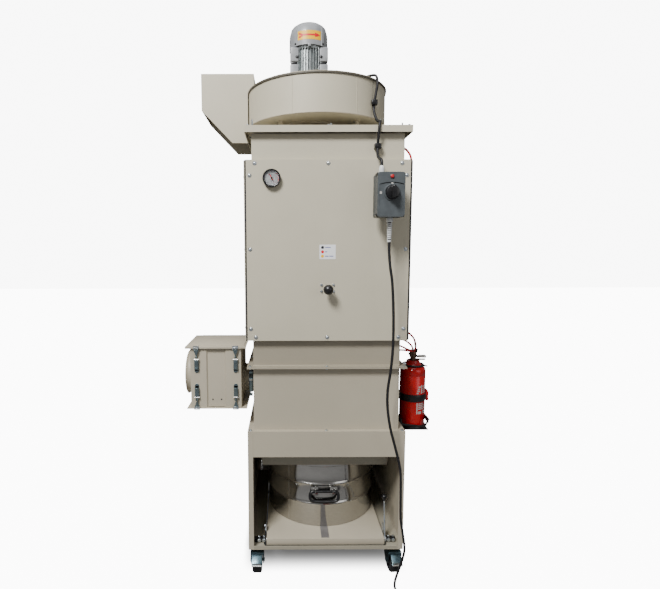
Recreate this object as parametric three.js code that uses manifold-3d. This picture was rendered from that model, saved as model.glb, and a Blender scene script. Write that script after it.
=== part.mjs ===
// Industrial dust collector: a wheeled base with a lift-up dust drum, a hopper, a filter housing,
// a round fan casing with a vertical motor, an inlet box, a switch box and a fire extinguisher.
// Millimetres. +X right, +Y to the back, +Z up. The machine is drawn with X = 0 on the cabinet's
// middle, Y = 0 on the front panel's back edge and Z = 0 on the floor, and is moved at the end so
// that the middle of its footprint is the origin.
import * as THREE from "three";
import { mergeVertices } from "three/addons/utils/BufferGeometryUtils.js";
import Module from "manifold-3d";

const wasm = await Module();
wasm.setup();

// ---------- driving dimensions ----------

const GAP = 0.3; // clearance between pieces that touch
const SHEET = 3; // cabinet sheet

const WIDE = 325; // half width of the base and of the flanges
const NARROW = 300; // half width of the hopper and neck sections
const DEPTH = 700; // cabinet depth
const MID_Y = DEPTH / 2;
const SECTION_INSET = 25; // flange overhang all round

const CASTER_TOP = 125;
const DECK_TOP = 641;
const HOPPER_FLANGE = 907;
const HOUSING_BOTTOM = 1020;
const HOUSING_TOP = 1731.5;
const NECK_TOP = 1835;
const COVER_TOP = 1861;

const PANEL_HALF = 320; // half width of the removable front panel
const SIDE_FACE = 330; // outside of the housing's side panels

const DRUM_RADIUS = 249.5;
const DRUM_BOTTOM = 165.3;
const DRUM_TOP = 455;
const HANDLE_PIVOT = 330; // height of the pins the drum's handle swings on

const CASING = { x: -24.5, radius: 305, bottom: 1921, top: 2072 };
const MOTOR_X = -61; // axis of the motor and impeller, left of the casing's middle

const INLET = { left: -565, right: -353, front: 75, back: 306, bottom: 723, top: 983 };
const SPIGOT = { y: 190, z: 845, end: -594, radius: 90 };
const DUCT = { y: 190, z: 821, radius: 60 };

const SWITCH = { left: 167, right: 267, front: -130, back: -45, bottom: 1504, top: 1664 };
const BOTTLE = { x: 403, y: 200, radius: 56, bottom: 600 };

const CORD_RADIUS = 5.25;

// ---------- finishes ----------

const finish = (color, roughness, metalness = 0) =>
  new THREE.MeshStandardMaterial({ color, roughness, metalness });

const paint = () => finish(0xbcb7aa, 0.55, 0.1);
const zinc = () => finish(0x9fb0b8, 0.35, 0.9);
const stainless = () => finish(0xc8c4bd, 0.2, 1);
const castAluminium = () => finish(0xaeb0b0, 0.5, 0.7);
const blackRubber = () => finish(0x1c1c1e, 0.8);
const blackPlastic = () => finish(0x141416, 0.35);
const greyPlastic = () => finish(0x6d757c, 0.45);
const whitePlastic = () => finish(0xdfe0dc, 0.5);
const redPaint = () => finish(0xd01218, 0.25, 0.1);
const redPlastic = () => finish(0xc4242a, 0.5);
const feltCloth = () => finish(0xd9d5c8, 0.95);

// ---------- solids ----------

// A closed three.js geometry as a solid whose faces point out.
function solid(geometry) {
  const bare = new THREE.BufferGeometry();
  bare.setAttribute("position", geometry.getAttribute("position"));
  bare.setIndex(geometry.index);
  const merged = mergeVertices(bare, 1e-3);
  const source = merged.index.array;
  const corners = [];
  for (let i = 0; i < source.length; i += 3) {
    const [a, b, c] = [source[i], source[i + 1], source[i + 2]];
    if (a !== b && b !== c && c !== a) corners.push(a, b, c);
  }
  const build = (triVerts) =>
    new wasm.Manifold(
      new wasm.Mesh({
        numProp: 3,
        vertProperties: merged.attributes.position.array,
        triVerts: new Uint32Array(triVerts),
      }),
    );
  const made = build(corners);
  return made.volume() < 0 ? build(corners.reverse()) : made;
}

const join = (...solids) => solids.reduce((whole, next) => whole.add(next));
const cut = (whole, ...tools) => tools.reduce((left, tool) => left.subtract(tool), whole);

function block([x0, y0, z0], [x1, y1, z1]) {
  const geometry = new THREE.BoxGeometry(x1 - x0, y1 - y0, z1 - z0);
  return solid(geometry.translate((x0 + x1) / 2, (y0 + y1) / 2, (z0 + z1) / 2));
}

// A round bar between two points, or a cone when the two radii differ.
function rod(from, to, radius, sides = 24, endRadius = radius) {
  const [a, b] = [new THREE.Vector3(...from), new THREE.Vector3(...to)];
  const along = b.clone().sub(a);
  const turn = new THREE.Quaternion().setFromUnitVectors(
    new THREE.Vector3(0, 1, 0),
    along.clone().normalize(),
  );
  const geometry = new THREE.CylinderGeometry(endRadius, radius, along.length(), sides);
  const middle = a.add(b).multiplyScalar(0.5);
  return solid(geometry.applyQuaternion(turn).translate(middle.x, middle.y, middle.z));
}

// A profile of [radius, height] points turned about a vertical axis at x, y.
function turned(profile, x = 0, y = 0, sides = 40) {
  const points = profile.map(([radius, height]) => new THREE.Vector2(radius, height));
  const geometry = new THREE.LatheGeometry(points, sides).rotateX(Math.PI / 2);
  return solid(geometry.translate(x, y, 0));
}

// A flat outline pushed from one place to another along an axis. The outline's two
// coordinates are X, Y for "z", X, Z for "y" and Y, Z for "x".
function pushed(outline, axis, from, to) {
  const shape = new THREE.Shape(outline.map(([a, b]) => new THREE.Vector2(a, b)));
  const options = { depth: to - from, bevelEnabled: false, curveSegments: 10 };
  const geometry = new THREE.ExtrudeGeometry(shape, options).translate(0, 0, from);
  if (axis === "y") geometry.rotateX(Math.PI / 2).scale(1, -1, 1);
  if (axis === "x") {
    const basis = [new THREE.Vector3(0, 1, 0), new THREE.Vector3(0, 0, 1), new THREE.Vector3(1, 0, 0)];
    geometry.applyMatrix4(new THREE.Matrix4().makeBasis(...basis));
  }
  return solid(geometry);
}

// A round tube of plain section along a list of points.
function hose(points, radius, sides = 8, stepsPerPoint = 3) {
  const curve = new THREE.CatmullRomCurve3(
    points.map((point) => new THREE.Vector3(...point)),
    false,
    "centripetal",
  );
  const section = new THREE.Shape();
  for (let i = 0; i < sides; i++) {
    const angle = (2 * Math.PI * i) / sides;
    const [a, b] = [radius * Math.cos(angle), radius * Math.sin(angle)];
    if (i) section.lineTo(a, b);
    else section.moveTo(a, b);
  }
  const steps = (points.length - 1) * stepsPerPoint;
  const options = { steps, extrudePath: curve, bevelEnabled: false };
  return solid(new THREE.ExtrudeGeometry(section, options));
}

// A rectangular sheet-metal duct, open at the top and bottom.
function duct(halfWidth, front, back, bottom, top, wall) {
  return cut(
    block([-halfWidth, front, bottom], [halfWidth, back, top]),
    block([-halfWidth + wall, front + wall, bottom - 1], [halfWidth - wall, back - wall, top + 1]),
  );
}

// A flat rectangular ring, such as a flange.
function frameRing(outerHalf, outerFront, outerBack, innerHalf, innerFront, innerBack, bottom, top) {
  return cut(
    block([-outerHalf, outerFront, bottom], [outerHalf, outerBack, top]),
    block([-innerHalf, innerFront, bottom - 1], [innerHalf, innerBack, top + 1]),
  );
}

const machine = new THREE.Group();

function addNode(parent, name, shape, material) {
  const made = shape.getMesh();
  const geometry = new THREE.BufferGeometry();
  geometry.setAttribute("position", new THREE.BufferAttribute(new Float32Array(made.vertProperties), 3));
  geometry.setIndex(new THREE.BufferAttribute(new Uint32Array(made.triVerts), 1));
  geometry.computeVertexNormals();
  const mesh = new THREE.Mesh(geometry, material);
  mesh.name = name;
  parent.add(mesh);
  return mesh;
}

// ---------- wheeled base ----------

const POST = 22; // width of the folded front edge of each side wall
const HEADER_BOTTOM = 532;
const DECK_BOTTOM = DECK_TOP - 6;
const POST_INNER = WIDE - POST - GAP;
const FLOOR_TOP = CASTER_TOP + 7;

function baseSide(sign) {
  const across = (a, b) => (sign < 0 ? [-b, -a] : [a, b]);
  const [wall0, wall1] = across(WIDE - SHEET, WIDE);
  const [fold0, fold1] = across(WIDE - POST, WIDE);
  const [foot0, foot1] = across(WIDE - 66, WIDE);
  const bottom = CASTER_TOP + GAP;
  return join(
    block([wall0, 0, bottom], [wall1, DEPTH, DECK_BOTTOM - GAP]),
    block([fold0, 0, bottom], [fold1, SHEET, DECK_BOTTOM - GAP]),
    block([fold0, DEPTH - SHEET, bottom], [fold1, DEPTH, DECK_BOTTOM - GAP]),
    block([foot0, 0, bottom], [foot1, DEPTH, bottom + SHEET]),
  );
}

function base() {
  addNode(machine, "base_left_side", baseSide(-1), paint());
  addNode(machine, "base_right_side", baseSide(1), paint());

  const inside = WIDE - SHEET - GAP;
  const floorAndBack = join(
    frameRing(inside, SHEET + GAP, DEPTH - SHEET - GAP, 262, 9, 664, FLOOR_TOP - 3, FLOOR_TOP),
    block([-POST_INNER, DEPTH - SHEET - 1, FLOOR_TOP - 3], [POST_INNER, DEPTH, FLOOR_TOP]),
    block([-POST_INNER, DEPTH - SHEET, FLOOR_TOP - 3], [POST_INNER, DEPTH, DECK_BOTTOM - GAP]),
    block([-POST_INNER, SHEET + 0.2, CASTER_TOP + 4], [POST_INNER, 9, FLOOR_TOP]),
    block([-258, 0, CASTER_TOP + GAP], [258, SHEET + 1, CASTER_TOP + 15]),
    block([-POST_INNER, 0, CASTER_TOP + 4], [POST_INNER, SHEET + 1, CASTER_TOP + 15]),
  );
  addNode(machine, "base_floor_and_back", floorAndBack, paint());

  const deck = join(
    frameRing(WIDE, 0, DEPTH, 292, 60, DEPTH - 60, DECK_BOTTOM, DECK_TOP),
    block([-POST_INNER, 0, HEADER_BOTTOM], [POST_INNER, SHEET, DECK_BOTTOM + 1]),
    block([-POST_INNER, 0, HEADER_BOTTOM], [POST_INNER, 14, HEADER_BOTTOM + 3]),
  );
  addNode(machine, "base_deck", deck, paint());
}

// ---------- casters ----------

const WHEEL_RADIUS = 50;
const TRAIL = 30; // distance of the axle in front of the swivel
const AXLE_HEIGHT = WHEEL_RADIUS;

function casterFork(fixed) {
  const crownTop = fixed ? CASTER_TOP : 116.7;
  const cheekOutline = [
    [20, 104],
    [-70, 104],
    [-66, 90],
    [-TRAIL - 14, 42],
    [-TRAIL + 6, 36],
    [-TRAIL + 16, 46],
    [20, 92],
  ];
  const cheeks = [-1, 1].map((sign) => {
    const [from, to] = sign < 0 ? [-28, -24] : [24, 28];
    return pushed(cheekOutline, "x", from, to);
  });
  const pieces = [
    ...cheeks,
    block([-28, -40, 103], [28, 26, 108]),
    rod([-31, -TRAIL, AXLE_HEIGHT], [31, -TRAIL, AXLE_HEIGHT], 6, 12),
    fixed
      ? block([-33, -46, 107], [33, 44, crownTop])
      : rod([0, 0, 107], [0, 0, crownTop], 27, 24),
  ];
  return join(...pieces);
}

function casterWheel() {
  const half = 20;
  const profile = [
    [6.4, -half],
    [46, -half],
    [WHEEL_RADIUS, -half + 5],
    [WHEEL_RADIUS, half - 5],
    [46, half],
    [6.4, half],
    [6.4, -half],
  ];
  const points = profile.map(([radius, height]) => new THREE.Vector2(radius, height));
  const geometry = new THREE.LatheGeometry(points, 28).rotateZ(Math.PI / 2);
  return solid(geometry.translate(0, -TRAIL, AXLE_HEIGHT));
}

// The brake lever hangs on a pin between the fork's cheeks and presses on the tread.
function casterBrake() {
  const outline = [
    [-59, 93],
    [-62, 99],
    [-76, 94],
    [-100, 68],
    [-96, 64],
    [-74, 87],
  ];
  return pushed(outline, "x", -22, 22);
}

function swivelCaster(name, x, y, turn) {
  const plate = join(
    block([-33, -45, CASTER_TOP - 4], [33, 45, CASTER_TOP]),
    rod([0, 0, 117], [0, 0, CASTER_TOP - 3], 24, 24),
  );
  const fixedGroup = new THREE.Group();
  fixedGroup.position.set(x, y, 0);
  machine.add(fixedGroup);
  addNode(fixedGroup, name + "_plate", plate, zinc());
  const turning = new THREE.Group();
  turning.rotation.z = turn;
  fixedGroup.add(turning);
  addNode(turning, name + "_fork", casterFork(false), zinc());
  addNode(turning, name + "_wheel", casterWheel(), blackRubber());
  addNode(turning, name + "_brake", casterBrake(), zinc());
}

function fixedCaster(name, x, y) {
  const group = new THREE.Group();
  group.position.set(x, y, 0);
  machine.add(group);
  addNode(group, name + "_fork", casterFork(true), zinc());
  addNode(group, name + "_wheel", casterWheel(), blackRubber());
}

// ---------- drum lift and dust drum ----------

const LIFT_AXIS = { y: 45, z: 143 };
const PLATFORM = { half: 250, front: 12, back: 660, skirtBottom: 138 };
const CAM_HEIGHT = 15; // the platform rides 4 mm above the cams' tips
const LEVER = { x: 258, gripX: 266.5, gripY: 110, gripZ: 297, rod: 4, grip: 12.5 };

function lift() {
  const top = DRUM_BOTTOM - GAP;
  const { half, front, back, skirtBottom } = PLATFORM;
  const platform = join(
    block([-half, front, top - SHEET], [half, back, top]),
    block([-half, front, skirtBottom], [half, front + SHEET, top]),
    block([-half, back - SHEET, skirtBottom], [half, back, top]),
    block([-17, front - 4, top - 2], [17, front + 1, top]),
  );
  addNode(machine, "lift_platform", platform, paint());

  const { y, z } = LIFT_AXIS;
  const { x: leverX, gripX, gripY, gripZ, rod: rodRadius, grip } = LEVER;
  const cam = (x0, x1) => block([x0, y - 3, z], [x1, y + 3, z + CAM_HEIGHT]);
  const shaft = join(
    rod([-292, y, z], [292, y, z], 6, 16),
    cam(-246, -226),
    cam(226, 246),
    rod([leverX - 5, y, z], [leverX + 5, y, z], 11, 16),
    rod([leverX, y, z], [gripX, gripY, gripZ], rodRadius, 12),
    solid(new THREE.SphereGeometry(grip, 16, 10).translate(gripX, gripY, gripZ)),
  );
  addNode(machine, "lift_lever", shaft, zinc());
}

function drum() {
  const wall = 2.5;
  const r = DRUM_RADIUS;
  const bead = (height) => [
    [r, height - 7],
    [r + 4, height],
    [r, height + 7],
  ];
  const profile = [
    [0, DRUM_BOTTOM + 6],
    [r - 14, DRUM_BOTTOM + 6],
    [r - 8, DRUM_BOTTOM],
    [r, DRUM_BOTTOM + 2],
    ...bead(271),
    ...bead(361),
    [r, DRUM_TOP - 16],
    [r + 4, DRUM_TOP - 12],
    [r + 4, DRUM_TOP],
    [r - wall, DRUM_TOP],
    [r - wall, DRUM_BOTTOM + 9],
    [0, DRUM_BOTTOM + 9],
  ];
  const shell = turned(profile, 0, MID_Y, 36);
  const front = MID_Y - r;
  const lug = (x) => block([x - 5, front - 12, HANDLE_PIVOT - 14], [x + 5, front + 4, HANDLE_PIVOT + 12]);
  const pivotHole = rod([-80, front - 6, HANDLE_PIVOT], [80, front - 6, HANDLE_PIVOT], 4.4, 12);
  const body = cut(join(shell, lug(-42), lug(42)), pivotHole);
  addNode(machine, "dust_drum", body, stainless());

  const y = front - 6;
  const bar = (points) => hose(points, 8, 8, 2);
  const arms = (sign) =>
    join(
      rod([sign * 34.7, y, HANDLE_PIVOT], [sign * 56, y, HANDLE_PIVOT], 4, 12),
      rod([sign * 56, y, HANDLE_PIVOT + 6], [sign * 56, y - 5, HANDLE_PIVOT - 28], 5.5, 12),
    );
  const grip = bar([
    [-56, y - 5, HANDLE_PIVOT - 26],
    [-52, y - 7, HANDLE_PIVOT - 36],
    [-40, y - 8, HANDLE_PIVOT - 41],
    [0, y - 8, HANDLE_PIVOT - 42],
    [40, y - 8, HANDLE_PIVOT - 41],
    [52, y - 7, HANDLE_PIVOT - 36],
    [56, y - 5, HANDLE_PIVOT - 26],
  ]);
  addNode(machine, "drum_handle", join(grip, arms(-1), arms(1)), blackPlastic());
}

// ---------- hopper ----------

const SECTION_FRONT = SECTION_INSET;
const SECTION_BACK = DEPTH - SECTION_INSET;

// A four-sided funnel whose walls lean in towards the bottom.
function funnel() {
  const [top, bottom] = [DECK_TOP - 8, 459];
  const taper = (halfTop, halfBottom, zTop, zBottom) => {
    const side = (half, z) => [
      [-half, MID_Y - half, z],
      [half, MID_Y - half, z],
      [half, MID_Y + half, z],
      [-half, MID_Y + half, z],
    ];
    const corners = [...side(halfBottom, zBottom), ...side(halfTop, zTop)].flat();
    const faces = [0, 2, 1, 0, 3, 2, 4, 5, 6, 4, 6, 7];
    for (let i = 0; i < 4; i++) {
      const j = (i + 1) % 4;
      faces.push(i, j, j + 4, i, j + 4, i + 4);
    }
    const geometry = new THREE.BufferGeometry();
    geometry.setAttribute("position", new THREE.Float32BufferAttribute(corners, 3));
    geometry.setIndex(faces);
    return solid(geometry);
  };
  const bore = rod([0, MID_Y, 400], [0, MID_Y, 500], 222, 36);
  return join(
    cut(taper(289, 268, top, bottom), taper(286.4, 264.6, top + 3, bottom - 3)),
    cut(block([-268, MID_Y - 268, 465], [268, MID_Y + 268, 469]), bore),
  );
}

function flangedSection(bottom, top, flangeAtBottom, flangeAtTop) {
  const walls = duct(NARROW, SECTION_FRONT, SECTION_BACK, bottom, top, SHEET);
  const flange = (from, to) =>
    frameRing(WIDE, 0, DEPTH, NARROW - SHEET, SECTION_FRONT + SHEET, SECTION_BACK - SHEET, from, to);
  const pieces = [walls];
  if (flangeAtBottom) pieces.push(flange(bottom, bottom + SHEET));
  if (flangeAtTop) pieces.push(flange(top - SHEET, top));
  return join(...pieces);
}

function hopper() {
  addNode(machine, "outlet_funnel", funnel(), paint());
  const sealProfile = [
    [226, DRUM_TOP + GAP],
    [252, DRUM_TOP + GAP],
    [252, 464.7],
    [226, 464.7],
    [226, DRUM_TOP + GAP],
  ];
  addNode(machine, "drum_seal", turned(sealProfile, 0, MID_Y, 36), blackRubber());

  const ductHole = rod([-NARROW - 20, DUCT.y, DUCT.z], [-NARROW + 20, DUCT.y, DUCT.z], DUCT.radius, 32);
  const lower = cut(flangedSection(DECK_TOP + GAP, HOPPER_FLANGE - GAP, false, true), ductHole);
  addNode(machine, "lower_hopper", lower, paint());
  const upper = flangedSection(HOPPER_FLANGE, HOUSING_BOTTOM - GAP, true, false);
  addNode(machine, "upper_hopper", upper, paint());
}

// ---------- filter housing ----------

const SHELL_HALF = 318;
const SHELL_FRONT = 9.3;
const SHAKER = { x: 2, z: 1229, radius: 7 };

function housing() {
  const back = DEPTH - 6;
  const [bottom, top] = [HOUSING_BOTTOM, HOUSING_TOP];
  const shell = cut(
    block([-SHELL_HALF, SHELL_FRONT, bottom], [SHELL_HALF, back, top]),
    block(
      [-SHELL_HALF + SHEET, SHELL_FRONT + SHEET, bottom + SHEET],
      [SHELL_HALF - SHEET, back - SHEET, top - SHEET],
    ),
    block([-290, SHELL_FRONT - 1, bottom + 28], [290, SHELL_FRONT + SHEET + 1, top - 28]),
    block([-290, 40, bottom - 1], [290, back - 15, bottom + SHEET + 1]),
    block([-290, 40, top - SHEET - 1], [290, back - 15, top + 1]),
  );
  addNode(machine, "housing_shell", shell, paint());

  const panel = cut(
    block([-PANEL_HALF, 0, bottom], [PANEL_HALF, SHEET, top]),
    rod([SHAKER.x, -5, SHAKER.z], [SHAKER.x, 8, SHAKER.z], SHAKER.radius + 1.5, 16),
  );
  addNode(machine, "front_panel", panel, paint());

  const gasketHalf = PANEL_HALF + 6;
  const [gasketFront, gasketBack] = [SHEET + GAP, SHELL_FRONT - GAP];
  const gasket = cut(
    block([-gasketHalf, gasketFront, bottom], [gasketHalf, gasketBack, top]),
    block([-292, gasketFront - 1, bottom + 26], [292, gasketBack + 1, top - 26]),
  );
  addNode(machine, "panel_gasket", gasket, blackRubber());

  for (const [sign, name] of [
    [-1, "left_side_panel"],
    [1, "right_side_panel"],
  ]) {
    const [inner, outer] = [SHELL_HALF + GAP, SIDE_FACE];
    const across = (a, b) => (sign < 0 ? [-b, -a] : [a, b]);
    const [x0, x1] = across(inner, outer);
    const [pocket0, pocket1] = across(inner - 1, outer - SHEET);
    const panelTray = cut(
      block([x0, SHELL_FRONT, bottom + 2], [x1, back, top - 2]),
      block([pocket0, SHELL_FRONT + SHEET, bottom + 5], [pocket1, back - SHEET, top - 5]),
    );
    addNode(machine, name, panelTray, paint());
  }
}

function filter() {
  const plate = cut(
    block([-314, 14, 1690], [314, 690, 1694]),
    block([-268, 74, 1680], [268, 636, 1700]),
  );
  const rim = frameRing(314, 13, 690, 300, 27, 676, 1672, 1692);
  addNode(machine, "filter_plate", join(plate, rim), zinc());

  const pockets = [];
  const pitch = 66;
  for (let i = -4; i <= 4; i++) {
    const x = i * pitch;
    const outline = [
      [x - 20, 1688],
      [x - 16, 1262],
      [x - 8, 1250],
      [x + 8, 1250],
      [x + 16, 1262],
      [x + 20, 1688],
    ].map(([a, b]) => [Math.max(-266, Math.min(266, a)), b]);
    pockets.push(pushed(outline, "y", 84, 626));
  }
  const collar = block([-276, 66, 1694.3], [276, 644, 1704]);
  const throat = block([-266, 76, 1680], [266, 634, 1695]);
  addNode(machine, "filter_pack", join(throat, collar, ...pockets), feltCloth());

  const { x, z, radius } = SHAKER;
  const rodLine = join(
    rod([x, -22, z], [x, 600, z], radius, 12),
    block([-240, 345, z - 6], [240, 357, z + 6]),
    solid(new THREE.SphereGeometry(20, 16, 10).translate(x, -40, z)),
  );
  addNode(machine, "shaker_rod", rodLine, blackPlastic());
}

// ---------- neck, fan and exhaust ----------

function neckAndCover() {
  const neck = duct(NARROW, SECTION_FRONT, SECTION_BACK, HOUSING_TOP + GAP, NECK_TOP - GAP, SHEET);
  const cableClip = block([183, 14, 1776], [201, SECTION_FRONT + 1, 1790]);
  addNode(machine, "neck", join(neck, cableClip), paint());

  const fanHole = rod([MOTOR_X, MID_Y, 1800], [MOTOR_X, MID_Y, 1900], 131, 28);
  const cover = cut(
    block([-WIDE, 0, NECK_TOP], [WIDE, DEPTH, COVER_TOP]),
    block([-WIDE + SHEET, SHEET, NECK_TOP - 1], [WIDE - SHEET, DEPTH - SHEET, COVER_TOP - SHEET]),
    fanHole,
  );
  addNode(machine, "top_cover", cover, paint());
}

const HOOD = {
  left: -540,
  right: -305,
  front: 315,
  back: 579,
  bottom: 1862,
  top: 2161,
  chamfer: { x: -404, z: 2003 },
};

function fanCasing() {
  const { x, radius, bottom, top } = CASING;
  const wall = 3;
  const can = cut(
    rod([x, MID_Y, bottom], [x, MID_Y, top], radius, 44),
    rod([x, MID_Y, bottom + wall], [x, MID_Y, top + 1], radius - wall, 44),
    rod([MOTOR_X, MID_Y, bottom - 1], [MOTOR_X, MID_Y, bottom + wall + 1], 130, 28),
    block([x - radius - 5, HOOD.front + 7, bottom + 14], [x - 180, HOOD.front + 155, top - 12]),
  );
  const foot = COVER_TOP + GAP;
  const inletProfile = [
    [130, foot],
    [168, foot],
    [168, foot + 4],
    [134, foot + 4],
    [134, bottom - 4],
    [168, bottom - 4],
    [168, bottom + 1],
    [130, bottom + 1],
    [130, foot],
  ];
  const inlet = turned(inletProfile, MOTOR_X, MID_Y, 28);
  const legs = [-1, 1].flatMap((side) =>
    [-1, 1].map((end) => {
      const [legX, legY] = [x + side * 160, MID_Y + end * 175];
      return rod([legX, legY, foot], [legX, legY, bottom + 1], 10, 12);
    }),
  );
  addNode(machine, "fan_casing", join(can, inlet, ...legs), paint());

  const lid = cut(
    rod([x, MID_Y, top + GAP], [x, MID_Y, top + 6], radius + 5, 44),
    rod([MOTOR_X, MID_Y, top - 5], [MOTOR_X, MID_Y, top + 10], 20, 24),
  );
  addNode(machine, "fan_lid", lid, paint());
}

// The exhaust hood is a sheet box beside the casing, open along its chamfer and underside.
function exhaustHood() {
  const { left, right, bottom, top, front, back, chamfer } = HOOD;
  const wall = 2.5;
  const outline = [
    [left, top],
    [left, chamfer.z],
    [chamfer.x, bottom],
    [right, bottom],
    [right, top],
  ];
  const inner = [
    [left + wall, top - wall],
    [left + wall, chamfer.z - 8],
    [chamfer.x - 8, bottom - 8],
    [right - wall, bottom - 8],
    [right - wall, top - wall],
  ];
  const { x, radius } = CASING;
  const casingRoom = rod([x, MID_Y, CASING.bottom - GAP], [x, MID_Y, CASING.top + 6 + GAP], radius + 5.9, 44);
  const coverRoom = block([-WIDE - 0.5, -1, NECK_TOP - 10], [0, DEPTH + 1, COVER_TOP + GAP]);
  const hood = cut(
    pushed(outline, "y", front, back),
    pushed(inner, "y", front + wall, back - wall),
    casingRoom,
    coverRoom,
  );
  addNode(machine, "exhaust_hood", hood, paint());
}

// ---------- motor and rotor ----------

const MOTOR = { foot: CASING.top + 6 + GAP, statorTop: 2274, cowlTop: 2374, cowlRadius: 85 };
const GLAND_HEIGHT = 2125; // middle of the gland on the motor's terminal box

function starOutline(x, y, ribs, root, tip) {
  const points = [];
  for (let i = 0; i < ribs; i++) {
    for (const [offset, radius] of [
      [-0.3, root],
      [-0.16, tip],
      [0.16, tip],
      [0.3, root],
    ]) {
      const angle = (2 * Math.PI * (i + offset)) / ribs;
      points.push([x + radius * Math.cos(angle), y + radius * Math.sin(angle)]);
    }
  }
  return points;
}

function motor() {
  const { foot, statorTop, cowlTop, cowlRadius } = MOTOR;
  const fins = pushed(starOutline(MOTOR_X, MID_Y, 20, 70, 79), "z", foot + 12, statorTop - 14);
  const terminalBox = join(
    block([MOTOR_X + 60, MID_Y - 42, GLAND_HEIGHT - 24], [MOTOR_X + 112, MID_Y + 42, GLAND_HEIGHT + 44]),
    rod([MOTOR_X + 86, MID_Y - 40, GLAND_HEIGHT], [MOTOR_X + 86, MID_Y - 58, GLAND_HEIGHT], 10, 12),
  );
  const stator = cut(
    join(
      rod([MOTOR_X, MID_Y, foot], [MOTOR_X, MID_Y, foot + 13], 98, 28),
      fins,
      rod([MOTOR_X, MID_Y, statorTop - 15], [MOTOR_X, MID_Y, statorTop], 76, 28),
      block([MOTOR_X - 84, MID_Y - 46, foot + 5], [MOTOR_X - 50, MID_Y - 20, foot + 62]),
      block([MOTOR_X - 84, MID_Y - 46, statorTop - 66], [MOTOR_X - 50, MID_Y - 20, statorTop - 9]),
      block([MOTOR_X + 50, MID_Y - 46, statorTop - 66], [MOTOR_X + 80, MID_Y - 20, statorTop - 9]),
      terminalBox,
    ),
    rod([MOTOR_X, MID_Y, foot - 1], [MOTOR_X, MID_Y, statorTop + 1], 13, 16),
  );
  addNode(machine, "motor_housing", stator, castAluminium());

  const [cowlBottom, r] = [statorTop + GAP, cowlRadius];
  const cowlProfile = [
    [r - 2, cowlBottom - 8],
    [r, cowlBottom - 8],
    [r, cowlTop - 34],
    [r - 8, cowlTop - 14],
    [r - 22, cowlTop - 4],
    [r - 40, cowlTop],
    [10, cowlTop],
    [10, cowlTop - 2],
    [r - 40, cowlTop - 2],
    [r - 22, cowlTop - 6],
    [r - 10, cowlTop - 16],
    [r - 2, cowlTop - 34],
    [r - 2, cowlBottom - 8],
  ];
  addNode(machine, "fan_cowl", turned(cowlProfile, MOTOR_X, MID_Y, 28), castAluminium());
}

function rotor() {
  const [low, high] = [CASING.bottom + 16, CASING.top - 14];
  const blade = (i) => {
    const angle = (2 * Math.PI * i) / 10;
    const lean = 0.35;
    const point = (radius, turn) => [
      MOTOR_X + radius * Math.cos(angle + turn),
      MID_Y + radius * Math.sin(angle + turn),
    ];
    const outline = [point(96, 0), point(196, lean), point(196, lean + 0.016), point(96, 0.035)];
    return pushed(outline, "z", low + 1, high - 1);
  };
  const backPlate = rod([MOTOR_X, MID_Y, high - 4], [MOTOR_X, MID_Y, high], 200, 36);
  const frontRing = cut(
    rod([MOTOR_X, MID_Y, low], [MOTOR_X, MID_Y, low + 3], 200, 36),
    rod([MOTOR_X, MID_Y, low - 1], [MOTOR_X, MID_Y, low + 4], 118, 28),
  );
  const hub = rod([MOTOR_X, MID_Y, high - 44], [MOTOR_X, MID_Y, high - 1], 32, 24);
  const blades = Array.from({ length: 10 }, (_, i) => blade(i));
  const wheel = cut(
    join(backPlate, frontRing, hub, ...blades),
    rod([MOTOR_X, MID_Y, low - 2], [MOTOR_X, MID_Y, high + 2], 12.3, 24),
  );
  addNode(machine, "impeller", wheel, zinc());

  const fanHeight = [MOTOR.statorTop + 8, MOTOR.statorTop + 44];
  const vanes = Array.from({ length: 6 }, (_, i) => {
    const angle = (2 * Math.PI * i) / 6;
    const across = new THREE.BoxGeometry(56, 3, fanHeight[1] - fanHeight[0]);
    across.translate(38, 0, (fanHeight[0] + fanHeight[1]) / 2).rotateZ(angle);
    return solid(across.translate(MOTOR_X, MID_Y, 0));
  });
  const shaft = join(
    rod([MOTOR_X, MID_Y, high - 46], [MOTOR_X, MID_Y, MOTOR.statorTop + 52], 12, 24),
    rod([MOTOR_X, MID_Y, fanHeight[0]], [MOTOR_X, MID_Y, fanHeight[1]], 20, 24),
    ...vanes,
  );
  addNode(machine, "motor_shaft", shaft, zinc());
}

// ---------- motor cable ----------

function motorCable() {
  const [boxX, boxY] = [MOTOR_X + 86, MID_Y - 58];
  const points = [
    [boxX, boxY - GAP, GLAND_HEIGHT],
    [boxX, boxY - 20, GLAND_HEIGHT],
    [boxX + 30, boxY - 60, 2124],
    [boxX + 78, boxY - 92, 2100],
    [boxX + 132, boxY - 118, 2093],
    [184, 146, 2093],
    [202, 126, 2085],
    [207, 119, 2058],
    [203, 122, 2020],
    [197, 126, 1980],
    [196, 123, 1945],
    [203, 100, 1906],
    [206, 50, 1886],
    [200, 10, 1876],
    [194, -8, 1862],
    [192, -8, 1838],
    [191, -2, 1812],
    [191, 6, 1783],
    [187, -10, 1752],
    [184, -50, 1728],
    [189, -84, 1712],
    [189, -85, 1694.4],
  ];
  addNode(machine, "motor_cable", hose(points, 4, 8, 2), blackRubber());
}

// ---------- switch box and gauge ----------

function roundedOutline(x0, x1, z0, z1, radius) {
  const points = [];
  const corner = (x, z, start) => {
    for (let i = 0; i <= 4; i++) {
      const angle = start + (i * Math.PI) / 8;
      points.push([x + radius * Math.cos(angle), z + radius * Math.sin(angle)]);
    }
  };
  corner(x1 - radius, z0 + radius, -Math.PI / 2);
  corner(x1 - radius, z1 - radius, 0);
  corner(x0 + radius, z1 - radius, Math.PI / 2);
  corner(x0 + radius, z0 + radius, Math.PI);
  return points;
}

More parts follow.
